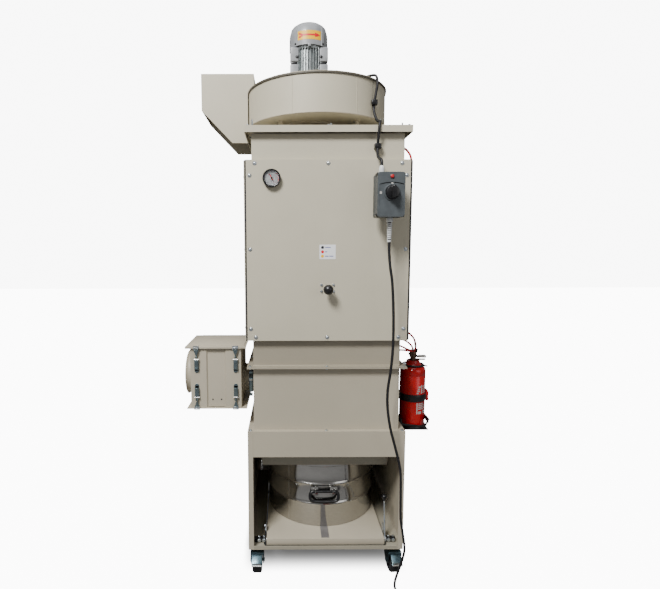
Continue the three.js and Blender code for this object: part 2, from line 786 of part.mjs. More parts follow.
function switchBox() {
  const { left, right, front, back, bottom, top } = SWITCH;
  const knobX = 220;
  const knobZ = 1591;
  const enclosure = join(
    pushed(roundedOutline(left, right, bottom, top, 7), "y", front, back),
    block([184, back - 1, 1530], [250, -GAP, 1545]),
    block([184, back - 1, 1625], [250, -GAP, 1640]),
    rod([189, -85, top - 1], [189, -85, top + 30], 9, 16),
    rod([219, front + 1, 1648], [219, front - 4, 1648], 8, 16),
    rod([knobX, front + 1, knobZ], [knobX, front - 3, knobZ], 30, 32),
  );
  const spindleHole = rod([knobX, front - 10, knobZ], [knobX, front + 20, knobZ], 6, 16);
  addNode(machine, "switch_box", cut(enclosure, spindleHole), greyPlastic());

  const knob = join(
    rod([knobX, front - 3 - GAP, knobZ], [knobX, front - 17, knobZ], 25, 32),
    block([knobX - 7, front - 39, knobZ - 23], [knobX + 7, front - 16, knobZ + 23]),
    rod([knobX, front - 4, knobZ], [knobX, front + 16, knobZ], 5, 12),
  );
  addNode(machine, "switch_knob", knob, blackPlastic());

  const gland = turned(
    [
      [0, 1412],
      [7, 1412],
      [11, 1490],
      [12, 1490],
      [12, bottom - GAP],
      [0, bottom - GAP],
    ],
    222,
    -85,
    16,
  );
  addNode(machine, "cord_gland", gland, whitePlastic());
}

function gauge() {
  const [x, z] = [-220, 1660];
  const body = cut(
    rod([x, -GAP, z], [x, -20, z], 35, 28),
    rod([x, -9, z], [x, -21, z], 30.5, 28),
  );
  const post = rod([x, -8, z], [x, -10, z], 2.2, 12);
  addNode(machine, "vacuum_gauge", join(body, post), blackPlastic());
  const needleLine = pushed(
    [
      [-1.6, -9],
      [1.6, -9],
      [0.6, 22],
      [-0.6, 22],
    ],
    "y",
    -12,
    -10.8,
  );
  const hub = rod([0, -10.5, 0], [0, -13.5, 0], 3.4, 12);
  const mesh = addNode(machine, "gauge_needle", join(needleLine, hub), redPlastic());
  mesh.position.set(x, 0, z);
  mesh.rotation.y = (-28 * Math.PI) / 180;
}

// ---------- inlet box ----------

function inletBox() {
  const { left, right, front, back, bottom, top } = INLET;
  const wall = 2.5;
  const walls = cut(
    block([left, front, bottom], [right, back, top]),
    block([left + wall, front - 1, bottom + wall], [right - wall, back - wall, top - wall]),
  );
  const lid = block([-585, 50, top - 1], [-331, back + 5, top + 3]);
  const floor = block([-582, 52, bottom - 3], [-329, back + 5, bottom + 1]);
  const ring = (axis, x0, x1, radius) => rod([x0, axis.y, axis.z], [x1, axis.y, axis.z], radius, 28);
  const ductEnd = -NARROW - GAP;
  const whole = cut(
    join(
      walls,
      lid,
      floor,
      ring(SPIGOT, SPIGOT.end, left + 1, SPIGOT.radius),
      ring(SPIGOT, SPIGOT.end - 2, SPIGOT.end + 4, SPIGOT.radius + 5),
      ring(DUCT, right - 1, ductEnd, DUCT.radius),
      ring(DUCT, ductEnd - 5, ductEnd, DUCT.radius + 4.5),
      ring(DUCT, right - 1, right + 6, DUCT.radius + 16),
    ),
    ring(SPIGOT, SPIGOT.end - 5, left + wall + 1, SPIGOT.radius - 2.5),
    ring(DUCT, right - wall - 1, ductEnd + 5, DUCT.radius - 3),
  );
  addNode(machine, "inlet_box", whole, paint());

  const [coverLeft, coverRight] = [left, right];
  const [coverFront, coverBack] = [front - 16, front - GAP];
  const [coverBottom, coverTop] = [bottom + 1 + GAP, top - 1 - GAP];
  const groove = block([-493, coverFront - 1, coverBottom - 1], [-422, coverFront + 6, coverTop + 1]);
  const cover = cut(
    block([coverLeft, coverFront, coverBottom], [coverRight, coverBack, coverTop]),
    block([coverLeft + 3, coverFront + 9, coverBottom + 3], [coverRight - 3, coverBack + 1, coverTop - 3]),
    groove,
  );
  const latchBases = latchPlaces().map(({ x, z: height }) =>
    block([x - 9, coverFront - 3, height - 20], [x + 9, coverFront + 1, height + 20]),
  );
  addNode(machine, "inlet_cover", join(cover, ...latchBases), paint());
}

const LATCH_PIN_DROP = 34;

function latchPlaces() {
  const places = [];
  for (const [side, x] of [
    ["left", -538.5],
    ["right", -376],
  ]) {
    places.push({ name: "top_" + side, x, z: 922, up: 1 });
    places.push({ name: "bottom_" + side, x, z: 779, up: -1 });
  }
  return places;
}

// Each toggle latch is a lever and hook that swing out about a pin at the inner end of the
// base plate. The lower latches are the upper ones turned half round.
function latches() {
  const face = INLET.front - 16 - 3 - GAP;
  for (const { name, x, z, up } of latchPlaces()) {
    const lever = join(
      block([-8, -9, 0], [8, -5, 40]),
      block([-8, -9, 0], [8, 0, 5]),
      block([-4, -8, 38], [4, -4, 80]),
      block([-9, -8, 75], [9, -4, 84]),
    );
    const mesh = addNode(machine, "latch_" + name, lever, zinc());
    mesh.position.set(x, face, z - up * LATCH_PIN_DROP);
    if (up < 0) mesh.rotation.y = Math.PI;
  }
}

// ---------- fire extinguisher ----------

const SHOULDER = BOTTLE.bottom + 248; // where the bottle starts to close in
const VALVE_BOTTOM = BOTTLE.bottom + 291;
const STRAP = { bottom: 715, top: 747 };

function extinguisherBottle() {
  const { x, y, radius: r, bottom } = BOTTLE;
  const profile = [
    [0, bottom + 5],
    [r - 10, bottom],
    [r - 3, bottom + 2],
    [r, bottom + 8],
    [r, SHOULDER],
    [r - 3, SHOULDER + 11],
    [r - 8, SHOULDER + 16],
    [r - 16, SHOULDER + 23],
    [33, SHOULDER + 30],
    [29, SHOULDER + 36],
    [27, VALVE_BOTTOM + 1],
    [0, VALVE_BOTTOM + 1],
  ];
  const valve = join(
    rod([x, y, VALVE_BOTTOM], [x, y, VALVE_BOTTOM + 40], 15, 16),
    block([x - 13, y - 10, VALVE_BOTTOM + 12], [x + 13, y + 10, VALVE_BOTTOM + 46]),
    rod([x + 6, y, VALVE_BOTTOM + 36], [x + 28, y, VALVE_BOTTOM + 54], 5.5, 12),
    block([x + 12, y - 8, VALVE_BOTTOM + 1], [x + 54, y + 8, VALVE_BOTTOM + 6]),
  );
  return join(turned(profile, x, y, 24), valve);
}

// The squeeze lever is hinged beside the valve, above the fixed handle.
function extinguisherLever() {
  return join(
    block([0, -8, -2], [42, 8, 3]),
    block([38, -8, -4], [42, 8, 3]),
  );
}

function extinguisherBracket() {
  const { x, y, radius: r, bottom } = BOTTLE;
  const plateInner = WIDE + GAP;
  const hoop = (z0, z1, clearance, thickness) => {
    const inner = r + clearance;
    return cut(
      rod([x, y, z0], [x, y, z1], inner + thickness, 24),
      rod([x, y, z0 - 1], [x, y, z1 + 1], inner, 24),
    );
  };
  const strapMiddle = (STRAP.bottom + STRAP.top) / 2;
  const bracket = join(
    block([plateInner, y - 40, bottom - 12], [WIDE + 4, y + 40, HOPPER_FLANGE + 20]),
    block([plateInner, y - 50, bottom - 12], [x + 58, y + 50, bottom - 7]),
    hoop(bottom - 10, bottom + 14, 1, 4),
    hoop(STRAP.bottom, STRAP.top, 0.4, 4),
    block([NARROW + GAP, y - 18, HOPPER_FLANGE + 8], [WIDE + 3, y + 18, HOPPER_FLANGE + 18]),
    block([WIDE + 1, y - 20, strapMiddle - 12], [x - r, y + 20, strapMiddle + 12]),
    block([x + r + 2, y - 12, 709], [x + r + 15, y + 12, 760]),
  );
  const bottleRoom = rod([x, y, bottom - 1], [x, y, SHOULDER], r + 0.4, 24);
  return cut(bracket, bottleRoom);
}

function extinguisher() {
  const { x, y } = BOTTLE;
  addNode(machine, "extinguisher_bottle", extinguisherBottle(), redPaint());
  const lever = addNode(machine, "extinguisher_lever", extinguisherLever(), whitePlastic());
  lever.position.set(x + 15.5, y, VALVE_BOTTOM + 15);
  addNode(machine, "extinguisher_bracket", extinguisherBracket(), blackPlastic());

  // The detection tube leaves the neck, runs down beside the housing and ends in the valve.
  const tubeX = SIDE_FACE + 5;
  const port = VALVE_BOTTOM + 30;
  const tube = hose(
    [
      [NARROW + GAP, 60, 1786],
      [NARROW + 12, 60, 1787],
      [NARROW + 28, 58, 1776],
      [tubeX, 56, 1750],
      [tubeX + 1, 55, 1700],
      [tubeX + 1, 60, 1400],
      [tubeX + 1, 70, 1080],
      [tubeX + 4, 110, 1020],
      [tubeX + 12, y - 40, 968],
      [x - 44, y - 8, port + 12],
      [x - 30, y, port + 1],
      [x - 16, y, port],
    ],
    3,
    8,
    3,
  );
  addNode(machine, "detection_tube", tube, redPlastic());
}

// ---------- mains cord ----------

const cord = new THREE.Group();

const CORD_ROUTE = [
  [222, -85, 1411.7],
  [223, -85, 1375],
  [228, -85, 1320],
  [236, -85, 1271],
  [242, -84, 1194],
  [246, -82, 1100],
  [246, -80, 1000],
  [240, -76, 912],
  [232, -70, 838],
  [233, -66, 770],
  [246, -62, 684],
  [272, -56, 588],
  [293, -52, 502],
  [298, -48, 400],
  [302, -44, 284],
  [314, -41, 215],
  [322, -38, 149],
  [312, -37, 96],
  [293, -42, 44],
  [281, -54, 17],
  [277, -76, 7.4],
  [286, -108, 5.6],
  [290.5, -120.5, 5.6],
];

const COIL = { x: 250, y: -212, radius: 73.95, half: 21.3, rise: 21.3 };

function mainsCord() {
  const coil = turned(
    [
      [COIL.radius - COIL.half, 0.2],
      [COIL.radius + COIL.half, 0.2],
      [COIL.radius + COIL.half, COIL.rise],
      [COIL.radius - COIL.half, COIL.rise],
      [COIL.radius - COIL.half, 0.2],
    ],
    COIL.x,
    COIL.y,
    32,
  );
  addNode(cord, "mains_cord", hose(CORD_ROUTE, CORD_RADIUS, 8, 2), blackRubber());
  addNode(cord, "cord_coil", coil, blackRubber());

  const plug = join(
    rod([0, 0, 0], [0, 0, 22], 12, 16, 16),
    rod([0, 0, 21], [0, 0, 82], 22, 24, 26),
    rod([0, 0, 81], [0, 0, 130], 30, 24),
  );
  const mesh = addNode(cord, "mains_plug", plug, redPlastic());
  mesh.position.set(150, COIL.y - 50, 30.2);
  mesh.rotation.y = -Math.PI / 2;
}

// ---------- assembly ----------

base();
swivelCaster("caster_front_left", -291, 75, 0);
swivelCaster("caster_front_right", 291, 75, (5 * Math.PI) / 180);
fixedCaster("caster_rear_left", -291, DEPTH - 60);
fixedCaster("caster_rear_right", 291, DEPTH - 60);
lift();
drum();
hopper();
housing();
filter();
neckAndCover();
fanCasing();
exhaustHood();
motor();
rotor();
motorCable();
switchBox();
gauge();
inletBox();
latches();
extinguisher();
mainsCord();

const footprint = new THREE.Box3().setFromObject(machine).getCenter(new THREE.Vector3());
const group = new THREE.Group();
group.add(machine, cord);
group.position.set(-footprint.x, -footprint.y, 0);

export default group;
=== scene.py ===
"""Looks of the dust collector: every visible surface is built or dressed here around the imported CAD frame.

Metres, +X right, +Y to the back, +Z up. Places come from the CAD nodes' boxes or are the machine's own
millimetres, turned into metres by at() and mm().
"""

import math

import bmesh
import bpy
from mathutils import Matrix, Vector


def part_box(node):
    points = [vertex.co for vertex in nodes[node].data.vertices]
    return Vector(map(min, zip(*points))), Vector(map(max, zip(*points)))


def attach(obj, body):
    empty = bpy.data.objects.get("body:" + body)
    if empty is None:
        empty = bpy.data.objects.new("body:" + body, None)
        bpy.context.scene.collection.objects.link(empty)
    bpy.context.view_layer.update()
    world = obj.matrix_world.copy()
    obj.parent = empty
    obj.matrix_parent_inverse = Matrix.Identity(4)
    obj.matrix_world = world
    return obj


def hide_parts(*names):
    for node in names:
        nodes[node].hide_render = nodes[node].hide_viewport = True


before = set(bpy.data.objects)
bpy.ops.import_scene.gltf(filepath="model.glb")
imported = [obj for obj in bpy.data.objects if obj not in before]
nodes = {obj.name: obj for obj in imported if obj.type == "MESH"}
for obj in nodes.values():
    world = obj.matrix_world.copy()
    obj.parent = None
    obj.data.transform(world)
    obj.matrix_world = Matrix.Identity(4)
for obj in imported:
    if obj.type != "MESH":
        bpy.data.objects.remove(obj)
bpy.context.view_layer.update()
MM = 0.001


class Extent:
    """The box of a CAD node, in metres."""

    def __init__(self, node):
        low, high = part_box(node)
        self.x0, self.y0, self.z0 = low
        self.x1, self.y1, self.z1 = high
        self.cx, self.cy, self.cz = (low + high) / 2
        self.width, self.depth, self.height = high - low


# ---------------------------------------------------------------- camera


def add_camera():
    """A level tripod shot from in front of the inlet side, tilted slightly down."""
    panel = Extent("front_panel")
    data = bpy.data.cameras.new("camera")
    camera = bpy.data.objects.new("camera", data)
    bpy.context.scene.collection.objects.link(camera)
    tilt, turn, roll = -5.94, -0.09, -0.14
    camera.location = (panel.cx - 0.171, panel.y0 - 1.850, 1.392)
    facing = Matrix.Rotation(math.radians(turn), 4, "Z") @ Matrix.Rotation(math.radians(90 + tilt), 4, "X")
    camera.rotation_euler = (facing @ Matrix.Rotation(math.radians(roll), 4, "Z")).to_euler()
    data.sensor_width = 36
    data.lens = 25.475
    data.shift_x = 0.0677
    data.shift_y = 0.0029
    data.clip_end = 50
    bpy.context.scene.camera = camera


add_camera()

# ---------------------------------------------------------------- material building


class Nodes:
    """A material's node tree with short ways to add and join nodes."""

    def __init__(self, name):
        self.material = bpy.data.materials.new(name)
        self.material.use_nodes = True
        self.tree = self.material.node_tree
        self.shader = self.tree.nodes["Principled BSDF"]

    def add(self, kind, **settings):
        node = self.tree.nodes.new(kind)
        for key, value in settings.items():
            if hasattr(node, key):
                setattr(node, key, value)
            else:
                node.inputs[key].default_value = value
        return node

    def link(self, output, socket):
        self.tree.links.new(output, socket)

    def coordinates(self):
        return self.add("ShaderNodeTexCoord").outputs["Object"]

    def noise(self, scale, detail=3.0, roughness=0.55, stretch=None):
        node = self.add("ShaderNodeTexNoise")
        node.inputs["Scale"].default_value = scale
        node.inputs["Detail"].default_value = detail
        node.inputs["Roughness"].default_value = roughness
        source = self.coordinates()
        if stretch:
            mapping = self.add("ShaderNodeMapping")
            mapping.inputs["Scale"].default_value = stretch
            self.link(source, mapping.inputs["Vector"])
            source = mapping.outputs["Vector"]
        self.link(source, node.inputs["Vector"])
        return node.outputs["Fac"]

    def ramp(self, value, low, high, low_at=0.35, high_at=0.65):
        node = self.add("ShaderNodeValToRGB")
        node.color_ramp.elements[0].position = low_at
        node.color_ramp.elements[1].position = high_at
        node.color_ramp.elements[0].color = as_rgba(low)
        node.color_ramp.elements[1].color = as_rgba(high)
        self.link(value, node.inputs["Fac"])
        return node.outputs["Color"]

    def mix(self, factor, first, second, mode="MIX"):
        node = self.add("ShaderNodeMix")
        node.data_type = "RGBA"
        node.blend_type = mode
        for value, socket in ((factor, node.inputs[0]), (first, node.inputs[6]), (second, node.inputs[7])):
            if isinstance(value, (int, float)):
                socket.default_value = value
            elif isinstance(value, tuple):
                socket.default_value = as_rgba(value)
            else:
                self.link(value, socket)
        return node.outputs[2]

    def bump(self, height, strength, distance, under=None):
        node = self.add("ShaderNodeBump")
        node.inputs["Strength"].default_value = strength
        node.inputs["Distance"].default_value = distance
        self.link(height, node.inputs["Height"])
        if under is not None:
            self.link(under, node.inputs["Normal"])
        return node.outputs["Normal"]

    def finish(self, **links):
        for key, value in links.items():
            socket = self.shader.inputs[key.replace("_", " ")]
            if isinstance(value, (int, float)):
                socket.default_value = value
            elif isinstance(value, tuple):
                socket.default_value = as_rgba(value)
            else:
                self.link(value, socket)
        return self.material


def as_rgba(value):
    if isinstance(value, (int, float)):
        return (value, value, value, 1)
    return (*value[:3], 1)


def powder_coat(name, colour, soil=0.06):
    """Satin powder coat: fine orange peel over a faint cloudy tone."""
    m = Nodes(name)
    cloud = m.noise(1.6, 4)
    tone = m.ramp(cloud, tuple(c * (1 - soil) for c in colour), tuple(c * (1 + soil * 0.5) for c in colour))
    specks = m.ramp(m.noise(900, 2), (0.93, 0.93, 0.93), (1.03, 1.03, 1.03), 0.3, 0.7)
    base = m.mix(0.6, tone, specks, "MULTIPLY")
    peel = m.bump(m.noise(420, 2), 0.16, 0.0006)
    wave = m.bump(m.noise(5.5, 2), 0.05, 0.004, peel)
    rough = m.ramp(m.noise(14, 3), 0.42, 0.56)
    return m.finish(Base_Color=base, Roughness=rough, Normal=wave, Metallic=0.0)


def plated_zinc(name, colour=(0.60, 0.65, 0.70)):
    """Blue-white passivated zinc: cool metal with faint yellow blooms and a crystalline grain."""
    m = Nodes(name)
    tarnish = (colour[0] * 1.2, colour[1] * 1.1, colour[2] * 0.9)
    bloom = m.ramp(m.noise(40, 4), colour, tarnish, 0.45, 0.85)
    grain = m.ramp(m.noise(600, 2), 0.86, 1.06, 0.3, 0.7)
    base = m.mix(1.0, bloom, grain, "MULTIPLY")
    rough = m.ramp(m.noise(160, 3), 0.26, 0.44)
    return m.finish(
        Base_Color=base, Metallic=1.0, Roughness=rough, Normal=m.bump(m.noise(700, 2), 0.12, 0.0003)
    )


def rolled_stainless(name):
    """Bright rolled stainless sheet: fine streaks round the drum, faint smudges and dents."""
    m = Nodes(name)
    streaks = m.noise(60, 4, 0.6, (1.0, 1.0, 22.0))
    base = m.ramp(streaks, (0.40, 0.39, 0.37), (0.50, 0.49, 0.47))
    smudge = m.noise(9, 4)
    rough = m.ramp(smudge, 0.09, 0.21)
    dents = m.bump(m.noise(7, 1), 0.12, 0.004)
    normal = m.bump(streaks, 0.06, 0.0005, dents)
    return m.finish(Base_Color=base, Metallic=1.0, Roughness=rough, Normal=normal)


def cast_metal(name, colour=(0.60, 0.61, 0.61)):
    """Sand-cast, paint-sprayed aluminium."""
    m = Nodes(name)
    tone = m.ramp(m.noise(30, 4), tuple(c * 0.82 for c in colour), colour)
    grit = m.bump(m.noise(520, 3), 0.35, 0.0007)
    return m.finish(Base_Color=tone, Metallic=0.85, Roughness=m.ramp(m.noise(90, 2), 0.34, 0.5), Normal=grit)


def moulded(name, colour, low=0.35, high=0.5, grain=0.1, scale=600, coat=0.0):
    """A moulded plastic or rubber: its own grain, and handling marks in the gloss."""
    m = Nodes(name)
    tone = m.ramp(m.noise(25, 3), tuple(c * 0.86 for c in colour), tuple(min(1, c * 1.1) for c in colour))
    rough = m.ramp(m.noise(70, 3), low, high)
    m.shader.inputs["Coat Weight"].default_value = coat
    return m.finish(Base_Color=tone, Roughness=rough, Normal=m.bump(m.noise(scale, 2), grain, 0.0005))


def gloss_enamel(name, colour):
    """Glossy sprayed enamel on a pressed cylinder."""
    m = Nodes(name)
    tone = m.ramp(m.noise(12, 3), tuple(c * 0.86 for c in colour), colour)
    m.shader.inputs["Coat Weight"].default_value = 0.2
    m.shader.inputs["Coat Roughness"].default_value = 0.1
    return m.finish(
        Base_Color=tone, Roughness=m.ramp(m.noise(40, 2), 0.2, 0.32),
        Normal=m.bump(m.noise(160, 2), 0.06, 0.0008)
    )


def felt(name, colour):
    """Needle felt: matted fibres with a soft sheen."""
    m = Nodes(name)
    fibre = m.noise(520, 5, 0.7, (1.0, 1.0, 0.35))
    tone = m.ramp(fibre, tuple(c * 0.8 for c in colour), colour)
    m.shader.inputs["Sheen Weight"].default_value = 0.3
    return m.finish(Base_Color=tone, Roughness=m.ramp(fibre, 0.85, 0.98), Normal=m.bump(fibre, 0.7, 0.0012))


def printed(name, colour, rough=0.35):
    """Printed film or enamel on a dial or sticker, with a faint screen grain."""
    m = Nodes(name)
    tone = m.ramp(m.noise(300, 2), tuple(c * 0.94 for c in colour), colour)
    return m.finish(Base_Color=tone, Roughness=m.ramp(m.noise(50, 2), rough, rough + 0.1))


def lens_glass(name):
    m = Nodes(name)
    m.shader.inputs["Transmission Weight"].default_value = 1.0
    m.shader.inputs["IOR"].default_value = 1.45
    return m.finish(Base_Color=(0.97, 0.98, 0.98), Roughness=m.ramp(m.noise(30, 2), 0.02, 0.05))


GREIGE = (0.535, 0.492, 0.377)
PAINT = powder_coat("powder_coat", GREIGE)
# A darker copy of the paint: painted shade on the lower sections, the inlet box and its cover, the fan's feet
# and lid, and the lift platform.
PAINT_LOW_SHADE = powder_coat("powder_coat_lower_painted_shade", tuple(c * f for c, f in zip(GREIGE, (0.84, 0.82, 0.82))), 0.08)
# A much darker copy of the paint: painted shade on the upper hopper, which slopes downward under the panel's
# overhang.
PAINT_HOPPER_SHADE = powder_coat("powder_coat_painted_shade_hopper", tuple(c * f for c, f in zip(GREIGE, (0.64, 0.62, 0.61))), 0.08)
# A dark copy of the paint: painted shade inside the base bay, the outlet funnel and the fan casing.
PAINT_INSIDE_SHADE = powder_coat("powder_coat_inside_painted_shade", tuple(c * 0.62 for c in GREIGE), 0.14)
ZINC = plated_zinc("zinc_plate")
STEEL = plated_zinc("bright_steel", (0.66, 0.66, 0.65))
STAINLESS = rolled_stainless("stainless_sheet")
SILVER_PAINT = moulded("silver_paint", (0.28, 0.29, 0.30), 0.3, 0.42, 0.12, 500, 0.15)
RUBBER = moulded("black_rubber", (0.010, 0.010, 0.011), 0.6, 0.8, 0.25, 500)
TYRE = moulded("tyre_rubber", (0.008, 0.008, 0.009), 0.55, 0.75, 0.3, 400)
CABLE = moulded("cable_jacket", (0.005, 0.005, 0.006), 0.5, 0.65, 0.15, 700)
BLACK = moulded("black_plastic", (0.005, 0.005, 0.006), 0.3, 0.42, 0.06, 500, 0.1)
GREY = moulded("grey_plastic", (0.066, 0.076, 0.082), 0.4, 0.55, 0.25, 900)
GREY_DARK = moulded("grey_plastic_dark", (0.040, 0.047, 0.052), 0.4, 0.55, 0.25, 900)
WHITE = moulded("white_plastic", (0.70, 0.71, 0.70), 0.35, 0.5, 0.08, 400)
PALE_GREY = moulded("pale_grey_plastic", (0.46, 0.45, 0.42), 0.35, 0.5, 0.08, 400)
RED = gloss_enamel("red_enamel", (0.52, 0.0005, 0.003))
RED_PLASTIC = moulded("red_plastic", (0.50, 0.006, 0.010), 0.35, 0.48, 0.06, 400, 0.1)
BRASS = plated_zinc("brass", (0.11, 0.075, 0.055))
FELT = felt("filter_felt", (0.66, 0.63, 0.56))
DIAL = printed("dial_white", (0.86, 0.87, 0.88))
INK = printed("print_black", (0.02, 0.02, 0.025))
RED_INK = printed("print_red", (0.70, 0.01, 0.02))
YELLOW_INK = printed("print_yellow", (0.90, 0.50, 0.005))
BLUE_INK = printed("print_blue", (0.10, 0.11, 0.35))
GLASS = lens_glass("gauge_glass")

# ---------------------------------------------------------------- mesh building


def make(name, mesh_or_bm, material, body, replaces=(), smooth=35, recalc=True):
    """Turns a bmesh into a piece on a CAD body. smooth is the angle over which edges stay sharp."""
    bm = mesh_or_bm
    if recalc:
        bmesh.ops.recalc_face_normals(bm, faces=bm.faces)
    mesh = bpy.data.meshes.new(name)
    bm.to_mesh(mesh)
    bm.free()
    piece = bpy.data.objects.new(name, mesh)
    bpy.context.scene.collection.objects.link(piece)
    materials = material if isinstance(material, (list, tuple)) else [material]
    for one in materials:
        mesh.materials.append(one)
    if smooth:
        mesh.shade_smooth()
        mesh.set_sharp_from_angle(angle=math.radians(smooth))
    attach(piece, body)
    if replaces:
        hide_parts(*([replaces] if isinstance(replaces, str) else replaces))
    return piece


def turned(bm, profile, place, axis="Z", segments=96, closed=False, index=0):
    """Adds a profile of (radius, height) points in metres, turned about an axis through place."""
    turn = {
        "Z": Matrix.Identity(3),
        "X": Matrix(((0, 0, 1), (1, 0, 0), (0, 1, 0))),
        "-Y": Matrix(((1, 0, 0), (0, 0, -1), (0, 1, 0))),
    }[axis]
    rings = []
    for radius, height in profile:
        if radius < 1e-7:
            rings.append([bm.verts.new(turn @ Vector((0, 0, height)) + Vector(place))])
            continue
        ring = []
        for i in range(segments):
            angle = 2 * math.pi * i / segments
            point = Vector((radius * math.cos(angle), radius * math.sin(angle), height))
            ring.append(bm.verts.new(turn @ point + Vector(place)))
        rings.append(ring)
    pairs = list(zip(rings, rings[1:])) + ([(rings[-1], rings[0])] if closed else [])
    for low, high in pairs:
        for i in range(segments):
            j = (i + 1) % segments
            if len(low) == 1 and len(high) == 1:
                continue
            if len(low) == 1:
                face = bm.faces.new((low[0], high[i], high[j]))
            elif len(high) == 1:
                face = bm.faces.new((low[i], low[j], high[0]))
            else:
                face = bm.faces.new((low[i], low[j], high[j], high[i]))
            face.material_index = index
    return bm


def rounded(points, radius, steps=5):
    """An outline's corners rounded with arcs. points are 2-D; radius is in the same unit."""
    made = []
    count = len(points)
    for i, point in enumerate(points):
        here = Vector(point)
        back = Vector(points[i - 1]) - here
        ahead = Vector(points[(i + 1) % count]) - here
        r = radius[i] if isinstance(radius, (list, tuple)) else radius
        angle = back.angle(ahead)
        reach = min(r / math.tan(angle / 2), back.length * 0.49, ahead.length * 0.49) if r else 0
        if reach < 1e-7:
            made.append(tuple(here))
            continue
        start, end = here + back.normalized() * reach, here + ahead.normalized() * reach
        for k in range(steps + 1):
            t = k / steps
            made.append(tuple(start.lerp(here, t).lerp(here.lerp(end, t), t)))
    return made


def slab(bm, outline, axis, low, high, bevel=0.0, index=0, segments=2):
    """Adds a flat outline pushed from low to high along an axis.

    Its coordinates are X, Y for Z; X, Z for Y; Y, Z for X.
    """
    lift = {
        "Z": lambda a, b, c: (a, b, c),
        "Y": lambda a, b, c: (a, c, b),
        "X": lambda a, b, c: (c, a, b),
    }[axis]
    bottom = [bm.verts.new(lift(a, b, low)) for a, b in outline]
    top = [bm.verts.new(lift(a, b, high)) for a, b in outline]
    faces = [bm.faces.new(bottom[::-1]), bm.faces.new(top)]
    count = len(outline)
    for i in range(count):
        j = (i + 1) % count
        faces.append(bm.faces.new((bottom[i], bottom[j], top[j], top[i])))
    for face in faces:
        face.material_index = index
    if bevel:
        edges = set(faces[0].edges) | set(faces[1].edges)
        bmesh.ops.bevel(
            bm, geom=list(edges), offset=bevel, segments=segments, profile=0.5, affect="EDGES",
            clamp_overlap=True
        )
    return bm


def brick(bm, low, high, bevel=0.0, index=0, segments=2):
    """Adds a box with its edges rounded."""
    made = bmesh.ops.create_cube(bm, size=1.0)["verts"]
    size = Vector(high) - Vector(low)
    middle = (Vector(high) + Vector(low)) / 2
    for vert in made:
        vert.co = Vector([vert.co[k] * size[k] + middle[k] for k in range(3)])
    edges = {edge for vert in made for edge in vert.link_edges}
    faces = {face for vert in made for face in vert.link_faces}
    for face in faces:
        face.material_index = index
    if bevel:
        bmesh.ops.bevel(
            bm, geom=list(edges), offset=bevel, segments=segments, profile=0.5, affect="EDGES",
            clamp_overlap=True
        )
    return bm


def bar(bm, start, end, radius, segments=32, end_radius=None, index=0, chamfer=0.0):
    """Adds a round bar between two points, with its end edges eased."""
    start, end = Vector(start), Vector(end)
    along = end - start
    length = along.length
    end_radius = radius if end_radius is None else end_radius
    c = min(chamfer, length * 0.4)
    profile = [
        (0, 0), (max(radius - c, 1e-5), 0), (radius, c), (end_radius, length - c),
        (max(end_radius - c, 1e-5), length), (0, length)
    ]
    if not c:
        profile = [(0, 0), (radius, 0), (end_radius, length), (0, length)]
    before = set(bm.verts)
    turned(bm, profile, (0, 0, 0), "Z", segments, index=index)
    turn = Vector((0, 0, 1)).rotation_difference(along.normalized()).to_matrix().to_4x4()
    fresh = [v for v in bm.verts if v not in before]
    bmesh.ops.transform(bm, matrix=Matrix.Translation(start) @ turn, verts=fresh)
    return bm


def ball(bm, centre, radius, segments=40, rings=24, index=0):
    """Adds a sphere."""
    matrix = Matrix.Translation(Vector(centre))
    made = bmesh.ops.create_uvsphere(bm, u_segments=segments, v_segments=rings, radius=radius, matrix=matrix)
    for vert in made["verts"]:
        for face in vert.link_faces:
            face.material_index = index
    return bm


def torus(bm, centre, major, minor, axis="Z", segments=96, sides=12, index=0):
    """Adds a ring of round section."""
    profile = []
    for i in range(sides):
        angle = 2 * math.pi * i / sides
        profile.append((major + minor * math.cos(angle), minor * math.sin(angle)))
    return turned(bm, profile, centre, axis, segments, closed=True, index=index)


def pipe(name, points, radius, material, body, replaces=(), resolution=6, order=None):
    """A round flexible line through points, as a curve piece."""
    data = bpy.data.curves.new(name, "CURVE")
    data.dimensions = "3D"
    data.bevel_depth = radius
    data.bevel_resolution = resolution
    data.use_fill_caps = True
    spline = data.splines.new("POLY")
    smooth = smooth_line(points, order or 6)
    spline.points.add(len(smooth) - 1)
    for target, point in zip(spline.points, smooth):
        target.co = (*point, 1)
    spline.use_smooth = True
    piece = bpy.data.objects.new(name, data)
    bpy.context.scene.collection.objects.link(piece)
    data.materials.append(material)
    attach(piece, body)
    if replaces:
        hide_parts(*([replaces] if isinstance(replaces, str) else replaces))
    return piece


def smooth_line(points, steps):
    """Points on a centripetal Catmull-Rom curve through the given points."""
    knots = [Vector(p) for p in points]
    padded = [knots[0] * 2 - knots[1], *knots, knots[-1] * 2 - knots[-2]]
    line = []
    for a, b, c, d in zip(padded, padded[1:], padded[2:], padded[3:]):
        t0 = 0.0
        t1 = t0 + math.sqrt((b - a).length)
        t2 = t1 + math.sqrt((c - b).length)
        t3 = t2 + math.sqrt((d - c).length)
        for k in range(steps):
            t = t1 + (t2 - t1) * k / steps
            a1 = a * ((t1 - t) / (t1 - t0)) + b * ((t - t0) / (t1 - t0))
            a2 = b * ((t2 - t) / (t2 - t1)) + c * ((t - t1) / (t2 - t1))
            a3 = c * ((t3 - t) / (t3 - t2)) + d * ((t - t2) / (t3 - t2))
            b1 = a1 * ((t2 - t) / (t2 - t0)) + a2 * ((t - t0) / (t2 - t0))
            b2 = a2 * ((t3 - t) / (t3 - t1)) + a3 * ((t - t1) / (t3 - t1))
            line.append(b1 * ((t2 - t) / (t2 - t1)) + b2 * ((t - t1) / (t2 - t1)))
    line.append(knots[-1])
    return line


